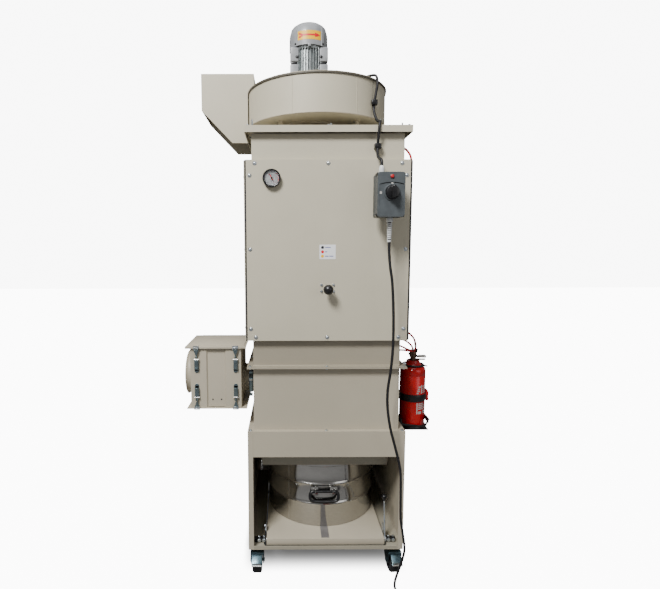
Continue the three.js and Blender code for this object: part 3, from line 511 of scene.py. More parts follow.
def cut_with(piece, cutter_bm):
    """Cuts a closed bmesh out of a piece and keeps its materials."""
    mesh = bpy.data.meshes.new("cutter")
    bmesh.ops.recalc_face_normals(cutter_bm, faces=cutter_bm.faces)
    cutter_bm.to_mesh(mesh)
    cutter_bm.free()
    tool = bpy.data.objects.new("cutter", mesh)
    bpy.context.scene.collection.objects.link(tool)
    modifier = piece.modifiers.new("cut", "BOOLEAN")
    modifier.operation = "DIFFERENCE"
    modifier.object = tool
    modifier.solver = "EXACT"
    bpy.context.view_layer.update()
    done = bpy.data.meshes.new_from_object(piece.evaluated_get(bpy.context.evaluated_depsgraph_get()))
    piece.modifiers.remove(modifier)
    piece.data = done
    bpy.data.objects.remove(tool)
    piece.data.shade_smooth()
    piece.data.set_sharp_from_angle(angle=math.radians(35))
    return piece


def screw_head(bm, place, facing, radius=5.5 * MM, washer=8 * MM, index=0, kind="pan"):
    """Adds a thin washer and a domed, hexagonal or countersunk screw head, facing along a direction."""
    before = set(bm.verts)
    turned(
        bm, [(0, 0), (washer, 0), (washer, 0.9 * MM), (washer - 0.4 * MM, 1.2 * MM), (0, 1.2 * MM)],
        (0, 0, 0), "Z", 24, index=index
    )
    if kind == "hex":
        six = [(radius * math.cos(math.pi * k / 3), radius * math.sin(math.pi * k / 3)) for k in range(6)]
        slab(bm, six, "Z", 1.1 * MM, 5.2 * MM, 0.4 * MM, index)
    else:
        dome = [(0, 1.1 * MM), (radius, 1.1 * MM)]
        for k in range(1, 6):
            angle = math.pi / 2 * k / 5
            dome.append((radius * math.cos(angle), 1.4 * MM + 2.6 * MM * math.sin(angle)))
        dome[-1] = (0, 4.0 * MM)
        turned(bm, dome, (0, 0, 0), "Z", 20, index=index)
    fresh = [v for v in bm.verts if v not in before]
    turn = Vector((0, 0, 1)).rotation_difference(Vector(facing).normalized()).to_matrix().to_4x4()
    bmesh.ops.transform(bm, matrix=Matrix.Translation(Vector(place)) @ turn, verts=fresh)
    return bm


def dress(node, material, bevel=0.8, segments=2, angle=35):
    """Gives a CAD node its finish and eases its edges without changing its own mesh."""
    piece = nodes[node]
    piece.data.materials.clear()
    piece.data.materials.append(material)
    piece.data.shade_flat()
    if bevel:
        modifier = piece.modifiers.new("eased_edges", "BEVEL")
        modifier.width = bevel * MM
        modifier.segments = segments
        modifier.limit_method = "ANGLE"
        modifier.angle_limit = math.radians(angle)
        modifier.harden_normals = True
    return piece

# ---------------------------------------------------------------- stage and light


def add_area(name, place, aim, size, power, shape_y=None, colour=(1, 1, 1)):
    data = bpy.data.lights.new(name, "AREA")
    data.energy = power
    data.color = colour
    data.size = size
    if shape_y:
        data.shape = "RECTANGLE"
        data.size_y = shape_y
    light = bpy.data.objects.new(name, data)
    light.location = place
    light.rotation_euler = (Vector(aim) - Vector(place)).to_track_quat("-Z", "Y").to_euler()
    bpy.context.scene.collection.objects.link(light)


def white_surround():
    """Pure white where the camera sees past the machine; a gentler grey-white light for everything else."""
    world = bpy.data.worlds.new("surround")
    world.use_nodes = True
    tree = world.node_tree
    light = tree.nodes["Background"]
    light.inputs["Color"].default_value = (1, 1, 1, 1)
    light.inputs["Strength"].default_value = WORLD_LIGHT
    white = tree.nodes.new("ShaderNodeBackground")
    white.inputs["Strength"].default_value = BACKDROP_WHITE
    path = tree.nodes.new("ShaderNodeLightPath")
    choose = tree.nodes.new("ShaderNodeMixShader")
    tree.links.new(path.outputs["Is Camera Ray"], choose.inputs["Fac"])
    tree.links.new(light.outputs[0], choose.inputs[1])
    tree.links.new(white.outputs[0], choose.inputs[2])
    tree.links.new(choose.outputs[0], tree.nodes["World Output"].inputs["Surface"])
    bpy.context.scene.world = world


def white_floor():
    """White studio floor: blown out in front by a glow only the camera sees, which fades out under the
    machine to paint a soft shadow there.
    """
    bm = bmesh.new()
    bmesh.ops.create_grid(bm, x_segments=1, y_segments=1, size=14)
    mesh = bpy.data.meshes.new("floor")
    bm.to_mesh(mesh)
    bm.free()
    floor = bpy.data.objects.new("floor", mesh)
    bpy.context.scene.collection.objects.link(floor)
    m = Nodes("white_floor")
    place = m.add("ShaderNodeSeparateXYZ")
    m.link(m.add("ShaderNodeNewGeometry").outputs["Position"], place.inputs[0])

    def fade(value, start, end):
        node = m.add("ShaderNodeMapRange", interpolation_type="SMOOTHSTEP")
        m.link(value, node.inputs["Value"])
        node.inputs["From Min"].default_value = start
        node.inputs["From Max"].default_value = end
        return node.outputs["Result"]

    def combine(operation, first, second):
        node = m.add("ShaderNodeMath", operation=operation)
        for value, socket in ((first, node.inputs[0]), (second, node.inputs[1])):
            if isinstance(value, (int, float)):
                socket.default_value = value
            else:
                m.link(value, socket)
        return node.outputs[0]

    side = combine("ABSOLUTE", combine("SUBTRACT", place.outputs["X"], base_middle), 0)
    near = fade(place.outputs["Y"], machine_front + 0.02, machine_front + 0.19)
    inside = fade(place.outputs["Y"], machine_front + 0.18, machine_front + 0.24)
    before = fade(place.outputs["Y"], machine_front + 0.95, machine_front + 0.62)
    depth = combine("MULTIPLY", combine("ADD", near, inside), before)
    # The mask that fades the glow out under the machine paints the soft shadow; its falloff sets the shadow's
    # greys.
    under = combine("MULTIPLY", depth, fade(side, 0.37, 0.27))
    glow_left_by_painted_shadow = combine("POWER", 0.012, under)
    seen = m.add("ShaderNodeLightPath").outputs["Is Camera Ray"]
    glow = combine("MULTIPLY", glow_left_by_painted_shadow, combine("MULTIPLY", seen, BACKDROP_WHITE))
    m.shader.inputs["Emission Color"].default_value = (1, 1, 1, 1)
    # A dark grey floor tone: it keeps bounce light low and darkens the shade under the machine as painted
    # shade.
    tone = m.ramp(m.noise(2, 2), 0.20, 0.22)
    mesh.materials.append(m.finish(Base_Color=tone, Roughness=0.9, Emission_Strength=glow))


def add_stage():
    """White studio with the key light high on the left, a weak fill on the right and light from above."""
    white_surround()
    white_floor()
    for name, place, aim, size, tall, power in LAMPS:
        add_area(name, place, aim, size, power, tall)


WORLD_LIGHT = 0.22
BACKDROP_WHITE = 11.0
base_middle = Extent("front_panel").cx
machine_front = Extent("front_panel").y0
LAMPS = [
    ("key", (base_middle - 1.9, machine_front - 3.0, 4.9), (base_middle, 0.0, 1.3), 1.3, 1.3, 420),
    ("fill", (2.8, -3.2, 2.0), (0.0, 0.0, 1.2), 1.8, 2.6, 22),
    ("top", (0.0, -0.6, 4.6), (0.0, 0.0, 1.2), 2.6, 2.6, 30),
]
add_stage()

# ---------------------------------------------------------------- sheet-metal sections

panel = Extent("front_panel")
side_left = Extent("left_side_panel")
side_right = Extent("right_side_panel")
hopper_low = Extent("lower_hopper")
hopper_up = Extent("upper_hopper")
deck = Extent("base_deck")
neck = Extent("neck")
cover = Extent("top_cover")


def dress_sections():
    for node in (
        "housing_shell", "front_panel", "left_side_panel", "right_side_panel", "neck", "top_cover",
        "exhaust_hood"
    ):
        dress(node, PAINT, 1.0)
    # The lower sections take the darker copy of the paint as painted shade.
    for node in ("lower_hopper", "base_deck", "base_left_side", "base_right_side"):
        dress(node, PAINT_LOW_SHADE, 1.0)
    # The upper hopper takes the darkest copy of the paint as painted shade.
    dress("upper_hopper", PAINT_HOPPER_SHADE, 1.0)
    dress("panel_gasket", RUBBER, 0.8)
    dress("filter_plate", ZINC, 0.6)
    dress("filter_pack", FELT, 3.0)


def panel_screws():
    """Pan-head screws round the front panel and on the side panels."""
    bm = bmesh.new()
    edge = 14 * MM
    corner = 34 * MM
    for z in (panel.z1 - edge, panel.z0 + edge):
        for x in (panel.x0 + corner, panel.cx, panel.x1 - corner):
            screw_head(bm, (x, panel.y0, z), (0, -1, 0))
    rows = (panel.z1 - 60 * MM, panel.cz + 10 * MM, panel.z0 + 48 * MM)
    for z in rows:
        for x in (panel.x0 + edge, panel.x1 - edge):
            screw_head(bm, (x, panel.y0, z), (0, -1, 0))
        for y in (0.04, 0.35, 0.66):
            screw_head(bm, (side_left.x0, panel.y0 + y, z), (-1, 0, 0))
            screw_head(bm, (side_right.x1, panel.y0 + y, z), (1, 0, 0))
    make("panel_screws", bm, ZINC, "cabinet")


def flange_screws():
    """Screws, nuts and washers that hold the flanged sections together."""
    bm = bmesh.new()
    mid = (hopper_low.x0 + hopper_low.x1) / 2
    # nut under the hopper flange and stud over it, front and back and down both sides
    inset = 12 * MM
    joints = [
        (hopper_up.z0 + 3 * MM, hopper_low.z1 - 3 * MM),
        (cover.z1, cover.z1 - 3 * MM),
    ]
    for above, below in joints:
        for x in (hopper_low.x0 + inset, mid, hopper_low.x1 - inset):
            for y in (panel.y0 + inset, deck.y1 - inset):
                screw_head(bm, (x, y, above), (0, 0, 1), 4.6 * MM, 7 * MM, kind="hex")
                screw_head(bm, (x, y, below), (0, 0, -1), 4.6 * MM, 7 * MM, kind="hex")
        for y in (0.18, 0.35, 0.52):
            for x in (hopper_low.x0 + inset, hopper_low.x1 - inset):
                screw_head(bm, (x, panel.y0 + y, above), (0, 0, 1), 4.6 * MM, 7 * MM, kind="hex")
                screw_head(bm, (x, panel.y0 + y, below), (0, 0, -1), 4.6 * MM, 7 * MM, kind="hex")
    for x in (deck.x0 + 12 * MM, mid, deck.x1 - 12 * MM):
        for y in (deck.y0 + 11 * MM, deck.y1 - 11 * MM):
            screw_head(bm, (x, y, deck.z1), (0, 0, 1), 4.6 * MM, 7 * MM, kind="hex")
    make("flange_screws", bm, ZINC, "cabinet")


def cover_studs():
    """Studs standing on the top cover's front edge."""
    bm = bmesh.new()
    mid = (cover.x0 + cover.x1) / 2
    for x, y, tall in (
        (cover.x0 + 30 * MM, cover.y0 + 22 * MM, 26 * MM),
        (cover.x1 - 36 * MM, cover.y0 + 26 * MM, 14 * MM),
        (mid + 12 * MM, cover.y0 + 30 * MM, 14 * MM),
    ):
        bar(bm, (x, y, cover.z1 - MM), (x, y, cover.z1 + tall), 3 * MM, 12, chamfer=0.5 * MM)
    make("cover_studs", bm, ZINC, "cabinet")


def hopper_lips():
    """Folded joint strips: the return lips of the flanges, seen as thin bright lines."""
    bm = bmesh.new()
    for section, z, toward in (
        (hopper_low, hopper_low.z1 - 3 * MM, -1), (hopper_up, hopper_up.z0 + 3 * MM, 1)
    ):
        wall = section.y0 + 25 * MM
        low, high = sorted((z, z + toward * 5 * MM))
        brick(
            bm, (section.x0 + 26 * MM, wall - 2.4 * MM, low), (section.x1 - 26 * MM, wall - 0.4 * MM, high),
            0.6 * MM
        )
    make("hopper_weld_beads", bm, PAINT_LOW_SHADE, "cabinet")


dress_sections()
panel_screws()
flange_screws()
cover_studs()
hopper_lips()

# ---------------------------------------------------------------- panel fittings


def colour_legend():
    """A small generic three-colour legend: dots and plain bars, no lettering."""
    x0, x1 = panel.cx - 33 * MM, panel.cx + 31 * MM
    z0, z1 = panel.z0 + 327 * MM, panel.z0 + 384 * MM
    y = panel.y0
    bm = bmesh.new()
    slab(bm, rounded([(x0, z0), (x1, z0), (x1, z1), (x0, z1)], 2 * MM, 3), "Y", y - 0.5 * MM, y + 0.2 * MM)
    row = (z1 - z0) / 3.3
    dots = []
    for k, (index, bars) in enumerate(((1, (22,)), (2, (8,)), (3, (14, 16)))):
        z = z1 - row * (k + 0.62)
        turned(
            bm, [(0, 0.45 * MM), (6 * MM, 0.45 * MM), (6 * MM, 0.75 * MM), (0, 0.75 * MM)],
            (x0 + 12 * MM, y, z), "-Y", 28, index=index
        )
        x = x0 + 22 * MM
        for width in bars:
            brick(
                bm, (x, y - 0.75 * MM, z - 1.5 * MM), (x + width * MM, y - 0.45 * MM, z + 1.5 * MM), index=4
            )
            x += (width + 3) * MM
    make("colour_legend", bm, [DIAL, INK, RED_INK, YELLOW_INK, BLUE_INK], "cabinet")


def vacuum_gauge():
    """Round panel gauge: black bezel, domed rim, white dial with graduations, and a glass."""
    node = Extent("vacuum_gauge")
    x, z = node.cx, node.cz
    back, front = node.y1, node.y0
    r = node.width / 2
    bm = bmesh.new()
    depth = back - front
    profile = [
        (0, -0.2 * MM), (r - 1.5 * MM, -0.2 * MM), (r, 1.3 * MM), (r, depth - 6 * MM), (
            r - 0.8 * MM, depth - 2 * MM
        ),
        (r - 3 * MM, depth), (r - 5 * MM, depth - 0.8 * MM), (r - 6 * MM, depth - 4 * MM), (
            r - 6 * MM, depth - 10.5 * MM
        ), (0, depth - 10.5 * MM),
    ]
    turned(bm, profile, (x, back, z), "-Y", 96)
    make("gauge_case", bm, BLACK, "cabinet", "vacuum_gauge")

    face = back - (depth - 10.5 * MM) - 0.3 * MM
    bm = bmesh.new()
    turned(
        bm, [(0, 0), (r - 6.3 * MM, 0), (r - 6.3 * MM, 0.4 * MM), (0, 0.4 * MM)], (x, face + 0.3 * MM, z),
        "-Y", 72
    )
    sweep = math.radians(270)
    for k in range(31):
        angle = math.radians(225) - sweep * k / 30
        long = k % 5 == 0
        inner = (r - 13 * MM) if long else (r - 10.5 * MM)
        outer = r - 8 * MM
        half = (0.55 if long else 0.28) * MM
        along = Vector((math.cos(angle), math.sin(angle)))
        side = Vector((-along.y, along.x)) * half
        corners = [along * inner - side, along * inner + side, along * outer + side, along * outer - side]
        slab(
            bm, [(x + c.x, z + c.y)
            for c in corners], "Y", face - 0.35 * MM, face, index=2 if 20 <= k else 1
        )
    for low, high, index in ((20, 30, 2), (0, 20, 1)):
        outline = []
        for radius, order in ((r - 8.2 * MM, range(low, high + 1)), (r - 7.4 * MM, range(high, low - 1, -1))):
            for k in order:
                angle = math.radians(225) - sweep * k / 30
                outline.append((x + radius * math.cos(angle), z + radius * math.sin(angle)))
        slab(bm, outline, "Y", face - 0.3 * MM, face, index=index)
    make("gauge_dial", bm, [DIAL, INK, RED_INK], "cabinet")

    needle = Extent("gauge_needle")
    bm = bmesh.new()
    lean = math.radians(28)
    tip = Vector((-math.sin(lean), math.cos(lean)))
    side = Vector((tip.y, -tip.x))
    middle = Vector((x, z))
    shape = [(-9, 1.9), (-9, -1.9), (4, -2.0), (12, -1.1), (21.5, -0.3), (21.5, 0.3), (12, 1.1), (4, 2.0)]
    outline = [tuple(middle + tip * (a * MM) + side * (b * MM)) for a, b in shape]
    slab(bm, outline, "Y", needle.y0 + 1.2 * MM, needle.y0 + 2.0 * MM, 0.1 * MM)
    tail = [
        tuple(middle + tip * (a * MM) + side * (b * MM))
        for a, b in ((-20, 0.5), (-20, -0.5), (-8.5, -1.6), (-8.5, 1.6))
    ]
    slab(bm, tail, "Y", needle.y0 + 1.2 * MM, needle.y0 + 2.0 * MM, 0.1 * MM, index=1)
    turned(
        bm, [(0, 0), (3.4 * MM, 0), (3.4 * MM, 1.4 * MM), (2.4 * MM, 2.4 * MM), (0, 2.4 * MM)],
        (x, needle.y0 + 2.4 * MM, z), "-Y", 32, index=1
    )
    make("needle", bm, [RED_INK, INK], "needle", "gauge_needle")

    bm = bmesh.new()
    turned(
        bm, [(0, 0), (r - 6.2 * MM, 0), (r - 6.2 * MM, 1.4 * MM), (0, 2.0 * MM)], (x, front + 4.4 * MM, z),
        "-Y", 72
    )
    make("gauge_lens", bm, GLASS, "cabinet")


def shaker():
    """Ball knob on a bright rod, through a flange bush with four small screws."""
    node = Extent("shaker_rod")
    x, z = node.cx, node.z0 + node.height / 2
    r = 20 * MM
    centre = node.y0 + r
    bm = bmesh.new()
    ball(bm, (x, centre, z), r, 56, 32)
    bar(bm, (x, centre + 14 * MM, z), (x, centre + 24 * MM, z), 11 * MM, 40, 9 * MM, chamfer=0.8 * MM)
    bar(bm, (x, centre + 22 * MM, z), (x, node.y1, z), 7 * MM, 32, index=1)
    brick(bm, (x - 0.24, node.y0 + 0.405, z - 6 * MM), (x + 0.24, node.y0 + 0.417, z + 6 * MM), 1 * MM, 1)
    make("shaker_handle", bm, [BLACK, STEEL], "shaker", "shaker_rod")

    bm = bmesh.new()
    y = panel.y0
    profile = [(8.7 * MM, 0), (15 * MM, 0), (15 * MM, 2 * MM), (12 * MM, 5 * MM), (8.7 * MM, 5 * MM)]
    turned(bm, profile, (x, y, z), "-Y", 48, closed=True, index=1)
    for a, b in ((-24, 16), (-24, -10), (24, 16), (24, -10)):
        screw_head(bm, (x + a * MM, y, z + b * MM), (0, -1, 0), 3.6 * MM, 5.4 * MM, kind="hex")
    make("shaker_bush", bm, [ZINC, BLACK], "cabinet")


colour_legend()
vacuum_gauge()
shaker()

# ---------------------------------------------------------------- switch box


def at(x, y, z):
    """A point in millimetres from the front panel's middle, its face and the floor."""
    return Vector((panel.cx + x * MM, panel.y0 + y * MM, z * MM))


def outline_mm(points):
    """An X, Z outline in millimetres from the panel's middle and the floor."""
    return [(panel.cx + x * MM, z * MM) for x, z in points]


def deep(y):
    return panel.y0 + y * MM


def switch_enclosure():
    """Grey two-part enclosure: back tray, lid with an arched recess, screws in the corners."""
    left, right, bottom, top = 167, 267, 1504, 1664
    corners = [(left, bottom), (right, bottom), (right, top), (left, top)]
    bm = bmesh.new()
    slab(bm, outline_mm(rounded(corners, 8, 6)), "Y", deep(-84), deep(-45), 1.5 * MM, 1)
    inset = [(left + 2, bottom + 2), (right - 2, bottom + 2), (right - 2, top - 2), (left + 2, top - 2)]
    slab(bm, outline_mm(rounded(inset, 7, 6)), "Y", deep(-88), deep(-83), 0, 1)
    for z0, z1 in ((1530, 1545), (1625, 1640)):
        brick(bm, at(184, -46, z0), at(250, -0.4, z1), 0.6 * MM, 1)
    make("switch_tray", bm, [GREY, GREY_DARK], "cabinet", "switch_box")

    bm = bmesh.new()
    slab(bm, outline_mm(rounded(corners, 8, 6)), "Y", deep(-130), deep(-86), 3.2 * MM, 0, 4)
    lid = make("switch_lid", bm, [GREY, GREY_DARK], "cabinet")
    arch = [(174, 1541)]
    arch += [(174 + 89 * t / 16, 1541 - 5.5 * math.sin(math.pi * t / 16)) for t in range(1, 17)]
    arch += [(263 - 89 * t / 16, 1621 + 6 * math.sin(math.pi * t / 16)) for t in range(17)]
    tool = bmesh.new()
    slab(tool, outline_mm(arch), "Y", deep(-134), deep(-128.4))
    cut_with(lid, tool)
    groove = [(177 + 84 * t / 20, 1622.6 + 6 * math.sin(math.pi * t / 20)) for t in range(21)]
    groove += [(261 - 84 * t / 20, 1619.2 + 5.6 * math.sin(math.pi * (1 - t / 20))) for t in range(21)]
    tool = bmesh.new()
    slab(tool, outline_mm(groove), "Y", deep(-134), deep(-124))
    cut_with(lid, tool)
    for x, z in ((left + 2, bottom + 4), (right - 2, bottom + 4), (left + 2, top - 4), (right - 2, top - 4)):
        tool = bmesh.new()
        bar(tool, at(x, -122, z), at(x, -80, z), 8.5 * MM, 24)
        cut_with(lid, tool)

    bm = bmesh.new()
    for x, z in (
        (left + 3.4, bottom + 5), (right - 3.4, bottom + 5), (left + 3.4, top - 5), (right - 3.4, top - 5)
    ):
        bar(bm, at(x, -90, z), at(x, -117, z), 5.6 * MM, 20, chamfer=1 * MM)
    make("switch_lid_screws", bm, BLACK, "cabinet")


def switch_details():
    """Pilot lamp, knob boss, plain index marks, top gland."""
    bm = bmesh.new()
    turned(
        bm, [(0, 0), (8.6 * MM, 0), (8.6 * MM, 1.6 * MM), (7.6 * MM, 2.2 * MM), (0, 2.2 * MM)],
        at(219, -129.5, 1648), "-Y", 36
    )
    dome = [(0, 2 * MM), (6.8 * MM, 2 * MM)]
    dome += [
        (6.8 * MM * math.cos(a * math.pi / 16), (2.4 + 4.2 * math.sin(a * math.pi / 16)) * MM)
        for a in range(8)
    ]
    dome += [(0, 6.6 * MM)]
    turned(bm, dome, at(219, -129.5, 1648), "-Y", 36, index=1)
    make("pilot_lamp", bm, [GREY_DARK, RED_PLASTIC], "cabinet")

    bm = bmesh.new()
    boss = [
        (8 * MM, 0), (30 * MM, 0), (30 * MM, 2.8 * MM), (28.6 * MM, 4 * MM), (27 * MM, 4 * MM),
        (26.4 * MM, 2.6 * MM), (8 * MM, 2.6 * MM)
    ]
    turned(bm, boss, at(220, -128.6, 1591), "-Y", 72, closed=True)
    make("knob_boss", bm, GREY, "cabinet")

    bm = bmesh.new()
    for x, z, wide, tall in ((220, 1624, 4.2, 2.6), (178.5, 1590, 4.6, 4.6)):
        mark = rounded(
            [(x - wide, z - tall), (x + wide, z - tall), (x + wide, z + tall), (x - wide, z + tall)], 2.4, 4
        )
        slab(bm, outline_mm(mark), "Y", deep(-128.9), deep(-128.2))
    make("switch_marks", bm, PALE_GREY, "cabinet")

    bm = bmesh.new()
    x, y = 189, -85
    six = [(x + 11 * math.cos(math.pi * k / 3), y + 11 * math.sin(math.pi * k / 3)) for k in range(6)]
    to_frame = [(panel.cx + a * MM, panel.y0 + b * MM) for a, b in six]
    slab(bm, to_frame, "Z", 1663.5 * MM, 1672 * MM, 0.8 * MM)
    dome = [(4.6, 1671.8), (10, 1671.8), (10, 1681), (9, 1686), (7, 1691), (5.6, 1693.8), (4.6, 1693.8)]
    turned(bm, [(r * MM, h * MM) for r, h in dome], (*at(x, y, 0)[:2], 0), "Z", 48, closed=True)
    make("cable_gland", bm, WHITE, "cabinet")


def switch_knob():
    """Black rotary handle: flanged skirt, waisted body and a tapered grip bar."""
    x, z = 220, 1591
    bm = bmesh.new()
    body = [
        (0, 3.4), (25, 3.4), (25, 6), (23.6, 7.4), (22.6, 9), (23.4, 14), (22.6, 17.4), (20, 18.4),
        (0, 18.4)
    ]
    turned(bm, [(r * MM, h * MM) for r, h in body], at(x, -130, z), "-Y", 72)
    grip = rounded([(x - 7, z - 22.5), (x + 7, z - 22.5), (x + 7, z + 22.5), (x - 7, z + 22.5)], 6.6, 6)
    slab(bm, outline_mm(grip), "Y", deep(-168.5), deep(-147), 2.6 * MM, 0, 4)
    bar(bm, at(x, -134, z), at(x, -114, z), 5 * MM, 20)
    make("rotary_handle", bm, BLACK, "switch", "switch_knob")


def bend_protector():
    """Slotted bend protector below the switch box: tapering rings held by two ribs, and a plain tip."""
    x, y, bottom = 222, -85, 1412
    hub = at(x, y, 0)
    bm = bmesh.new()
    collar = [(5.4, 1486), (11, 1486), (12, 1488), (12, 1500), (10.5, 1503.6), (5.4, 1503.6)]
    turned(bm, [(r * MM, h * MM) for r, h in collar], hub, "Z", 48, closed=True)
    tip = [(5.4, bottom), (6.6, bottom), (7.6, bottom + 2), (7.8, bottom + 8), (5.4, bottom + 8)]
    turned(bm, [(r * MM, h * MM) for r, h in tip], hub, "Z", 40, closed=True)
    count = 9
    for k in range(count):
        z = bottom + 12 + (1484 - bottom - 12) * k / count
        outer = 7.6 + 3.2 * k / count
        ring = [(5.6, z), (outer, z), (outer + 0.3, z + 2), (outer, z + 4.4), (5.6, z + 4.4)]
        turned(bm, [(r * MM, h * MM) for r, h in ring], hub, "Z", 40, closed=True)
    for side in (-1, 1):
        brick(
            bm, at(x + side * 6.9 - 0.9, y - 2.2, bottom + 4), at(x + side * 6.9 + 0.9, y + 2.2, 1488),
            0.4 * MM
        )
    bar(bm, at(x, y, bottom + 0.5), at(x, y, 1500), 5.2 * MM, 24, index=1)
    make("bend_protector", bm, [WHITE, CABLE], "cabinet", "cord_gland")


switch_enclosure()
switch_details()
switch_knob()
bend_protector()

# ---------------------------------------------------------------- mains cord

CORD_RADIUS = 5.25
CORD_FALL = [
    (
        222, -85, 1411.7
    ), (223, -85, 1375), (228, -85, 1320), (236, -85, 1271), (242, -84, 1194), (246, -82, 1100),
    (246, -80, 1000), (240, -76, 912), (232, -70, 838), (233, -66, 770), (246, -62, 684), (272, -56, 588),
    (293, -52, 502), (298, -48, 400), (302, -44, 284), (314, -41, 215), (322, -38, 149), (312, -37, 96),
    (293, -42, 44), (281, -54, 17), (277, -76, 7.4), (288, -112, 5.8), (313, -148, 5.4), (332, -174, 5.3),
]
COIL_MIDDLE = (250, -212)
COIL_RADII = (90, 79.3, 68.6, 57.9)
COIL_PITCH = 10.7
COIL_LAST_TURN = 0.375
CORD_TAIL = [(190, -280, 18), (177, -272, 22.5), (164, -265, 28), (156, -262.4, 30), (150, -262, 30.2)]
PLUG_BACK = (150, -262, 30.2)


def coil_points():
    """A neat flat coil: four turns inwards on the floor, then back outwards in a second layer."""
    turns = [(0, radius) for radius in COIL_RADII] + [(1, radius) for radius in reversed(COIL_RADII)]
    start = math.radians(15)
    steps = 24
    points = []
    for count, (layer, radius) in enumerate(turns):
        last = count == len(turns) - 1
        next_layer, next_radius = (layer, radius) if last else turns[count + 1]
        shift_from = 0.38 if layer else (0.58 if next_layer else 0.78)
        for k in range(int(steps * COIL_LAST_TURN) + 1 if last else steps):
            t = min(1.0, max(0.0, (k / steps - shift_from) / 0.2))
            ease = (1 - math.cos(math.pi * t)) / 2
            r = radius + (next_radius - radius) * ease
            z = CORD_RADIUS + COIL_PITCH * (layer + (next_layer - layer) * ease)
            angle = start - 2 * math.pi * k / steps
            points.append((COIL_MIDDLE[0] + r * math.cos(angle), COIL_MIDDLE[1] + r * math.sin(angle), z))
    return points


def lay_cord():
    """The mains cord hangs from the switch box, lies in a coil in front and ends in a red plug."""
    path = [at(*p) for p in CORD_FALL + coil_points() + CORD_TAIL]
    return pipe(
        "mains_lead", path, CORD_RADIUS * MM, CABLE, "cabinet", ("mains_cord", "cord_coil"),
        6, 3
    )


def mains_plug():
    """Round five-pin style plug on its side: ribbed grip, collar, rim and a plain face."""
    x, y, z = PLUG_BACK
    bm = bmesh.new()
    profile = [
        (5.6, 0), (9, 0), (11.4, 2), (12, 6), (12, 18), (
            13.5, 20
        ), (21, 22), (22, 26), (25.6, 78), (26, 82), (29, 83),
        (30, 85), (30, 127), (29, 129.6), (26.5, 130), (26.5, 112), (5.6, 112),
    ]
    turned(bm, [(r * MM, -h * MM) for r, h in profile], at(*PLUG_BACK), "X", 72, closed=True)
    for k in range(18):
        angle = 2 * math.pi * k / 18
        a = at(x - 30, y + 23.0 * math.cos(angle), z + 23.0 * math.sin(angle))
        b = at(x - 74, y + 25.4 * math.cos(angle), z + 25.4 * math.sin(angle))
        bar(bm, a, b, 1.3 * MM, 8, index=0, chamfer=0.4 * MM)
    for k in range(5):
        angle = math.pi / 2 + 2 * math.pi * k / 5
        pin_y, pin_z = y + 15 * math.cos(angle), z + 15 * math.sin(angle)
        bar(
            bm, at(x - 111, pin_y, pin_z), at(x - 128.5, pin_y, pin_z), 2.6 * MM, 16, index=1,
            chamfer=0.6 * MM
        )
    return make("plug", bm, [RED_PLASTIC, STEEL], "cabinet", "mains_plug")


cord = lay_cord()
plug = mains_plug()

# ---------------------------------------------------------------- fan casing and hood

FAN_X, FAN_Y = -24.5, 350
MOTOR_X = -61
MOTOR_GREY = cast_metal("motor_grey", (0.38, 0.41, 0.41))


def ring_mm(bm, profile, x, y, segments=96, index=0):
    """Adds a closed (radius, height) ring in millimetres, turned about an upright axis."""
    hub = at(x, y, 0)
    return turned(bm, [(r * MM, z * MM) for r, z in profile], hub, "Z", segments, closed=True, index=index)


def solid_mm(bm, profile, x, y, segments=96, index=0):
    """Adds a (radius, height) solid in millimetres whose profile starts and ends on its upright axis."""
    hub = at(x, y, 0)
    return turned(bm, [(r * MM, z * MM) for r, z in profile], hub, "Z", segments, index=index)


def fan_casing():
    bottom, top, radius = 1921, 2072, 305
    bm = bmesh.new()
    solid_mm(
        bm, [(0, bottom), (radius - 1, bottom), (radius, bottom + 1), (radius, top), (0, top)], FAN_X,
        FAN_Y, 144
    )
    shell = make("casing_shell", bm, [PAINT, PAINT_INSIDE_SHADE], "cabinet", "fan_casing")
    tool = bmesh.new()
    solid_mm(
        tool, [(0, bottom + 3), (radius - 3, bottom + 3), (radius - 3, top + 5), (0, top + 5)], FAN_X,
        FAN_Y, 144
    )
    cut_with(shell, tool)
    tool = bmesh.new()
    solid_mm(
        tool, [(0, bottom - 5), (130, bottom - 5), (130, bottom + 8), (0, bottom + 8)], MOTOR_X, FAN_Y, 64
    )
    cut_with(shell, tool)
    tool = bmesh.new()
    brick(tool, at(FAN_X - radius - 6, 322, bottom + 14), at(FAN_X - 180, 470, top - 12))
    cut_with(shell, tool)

    bm = bmesh.new()
    ring_mm(bm, [
        (304.6, bottom - 0.4), (307, bottom), (307.4, bottom + 1.8), (307, bottom + 3.6),
        (304.6, bottom + 4)
    ], FAN_X, FAN_Y, 144)
    foot = 1861.3
    inlet = [
        (130, foot), (168, foot), (168, foot + 4), (136, foot + 4), (134, foot + 6), (
            134, bottom - 6
        ), (136, bottom - 4),
        (168, bottom - 4), (168, bottom - 0.2), (130, bottom - 0.2),
    ]
    ring_mm(bm, inlet, MOTOR_X, FAN_Y, 72)
    for a in (-160, 160):
        for b in (-175, 175):
            bar(bm, at(FAN_X + a, FAN_Y + b, foot), at(FAN_X + a, FAN_Y + b, bottom), 10 * MM, 24)
            bar(
                bm, at(FAN_X + a, FAN_Y + b, foot), at(FAN_X + a, FAN_Y + b, foot + 5), 19 * MM, 32,
                chamfer=MM
            )
    make("casing_feet_and_inlet", bm, PAINT_LOW_SHADE, "cabinet")

    bm = bmesh.new()
    for angle in (-112, -62):
        a = math.radians(angle)
        x, y = FAN_X + 305.2 * math.cos(a), FAN_Y + 305.2 * math.sin(a)
        bar(bm, at(x, y, bottom + 3), at(x, y, top - 1), 0.9 * MM, 10)
    make("casing_seams", bm, PAINT, "cabinet")


# Dark brown sealing cord; its colour and height also paint the shaded band under the lid's rim.
SEAL_CORD_SHADE = moulded("seal_cord_painted_shade", (0.085, 0.075, 0.055), 0.5, 0.65, 0.2, 400)


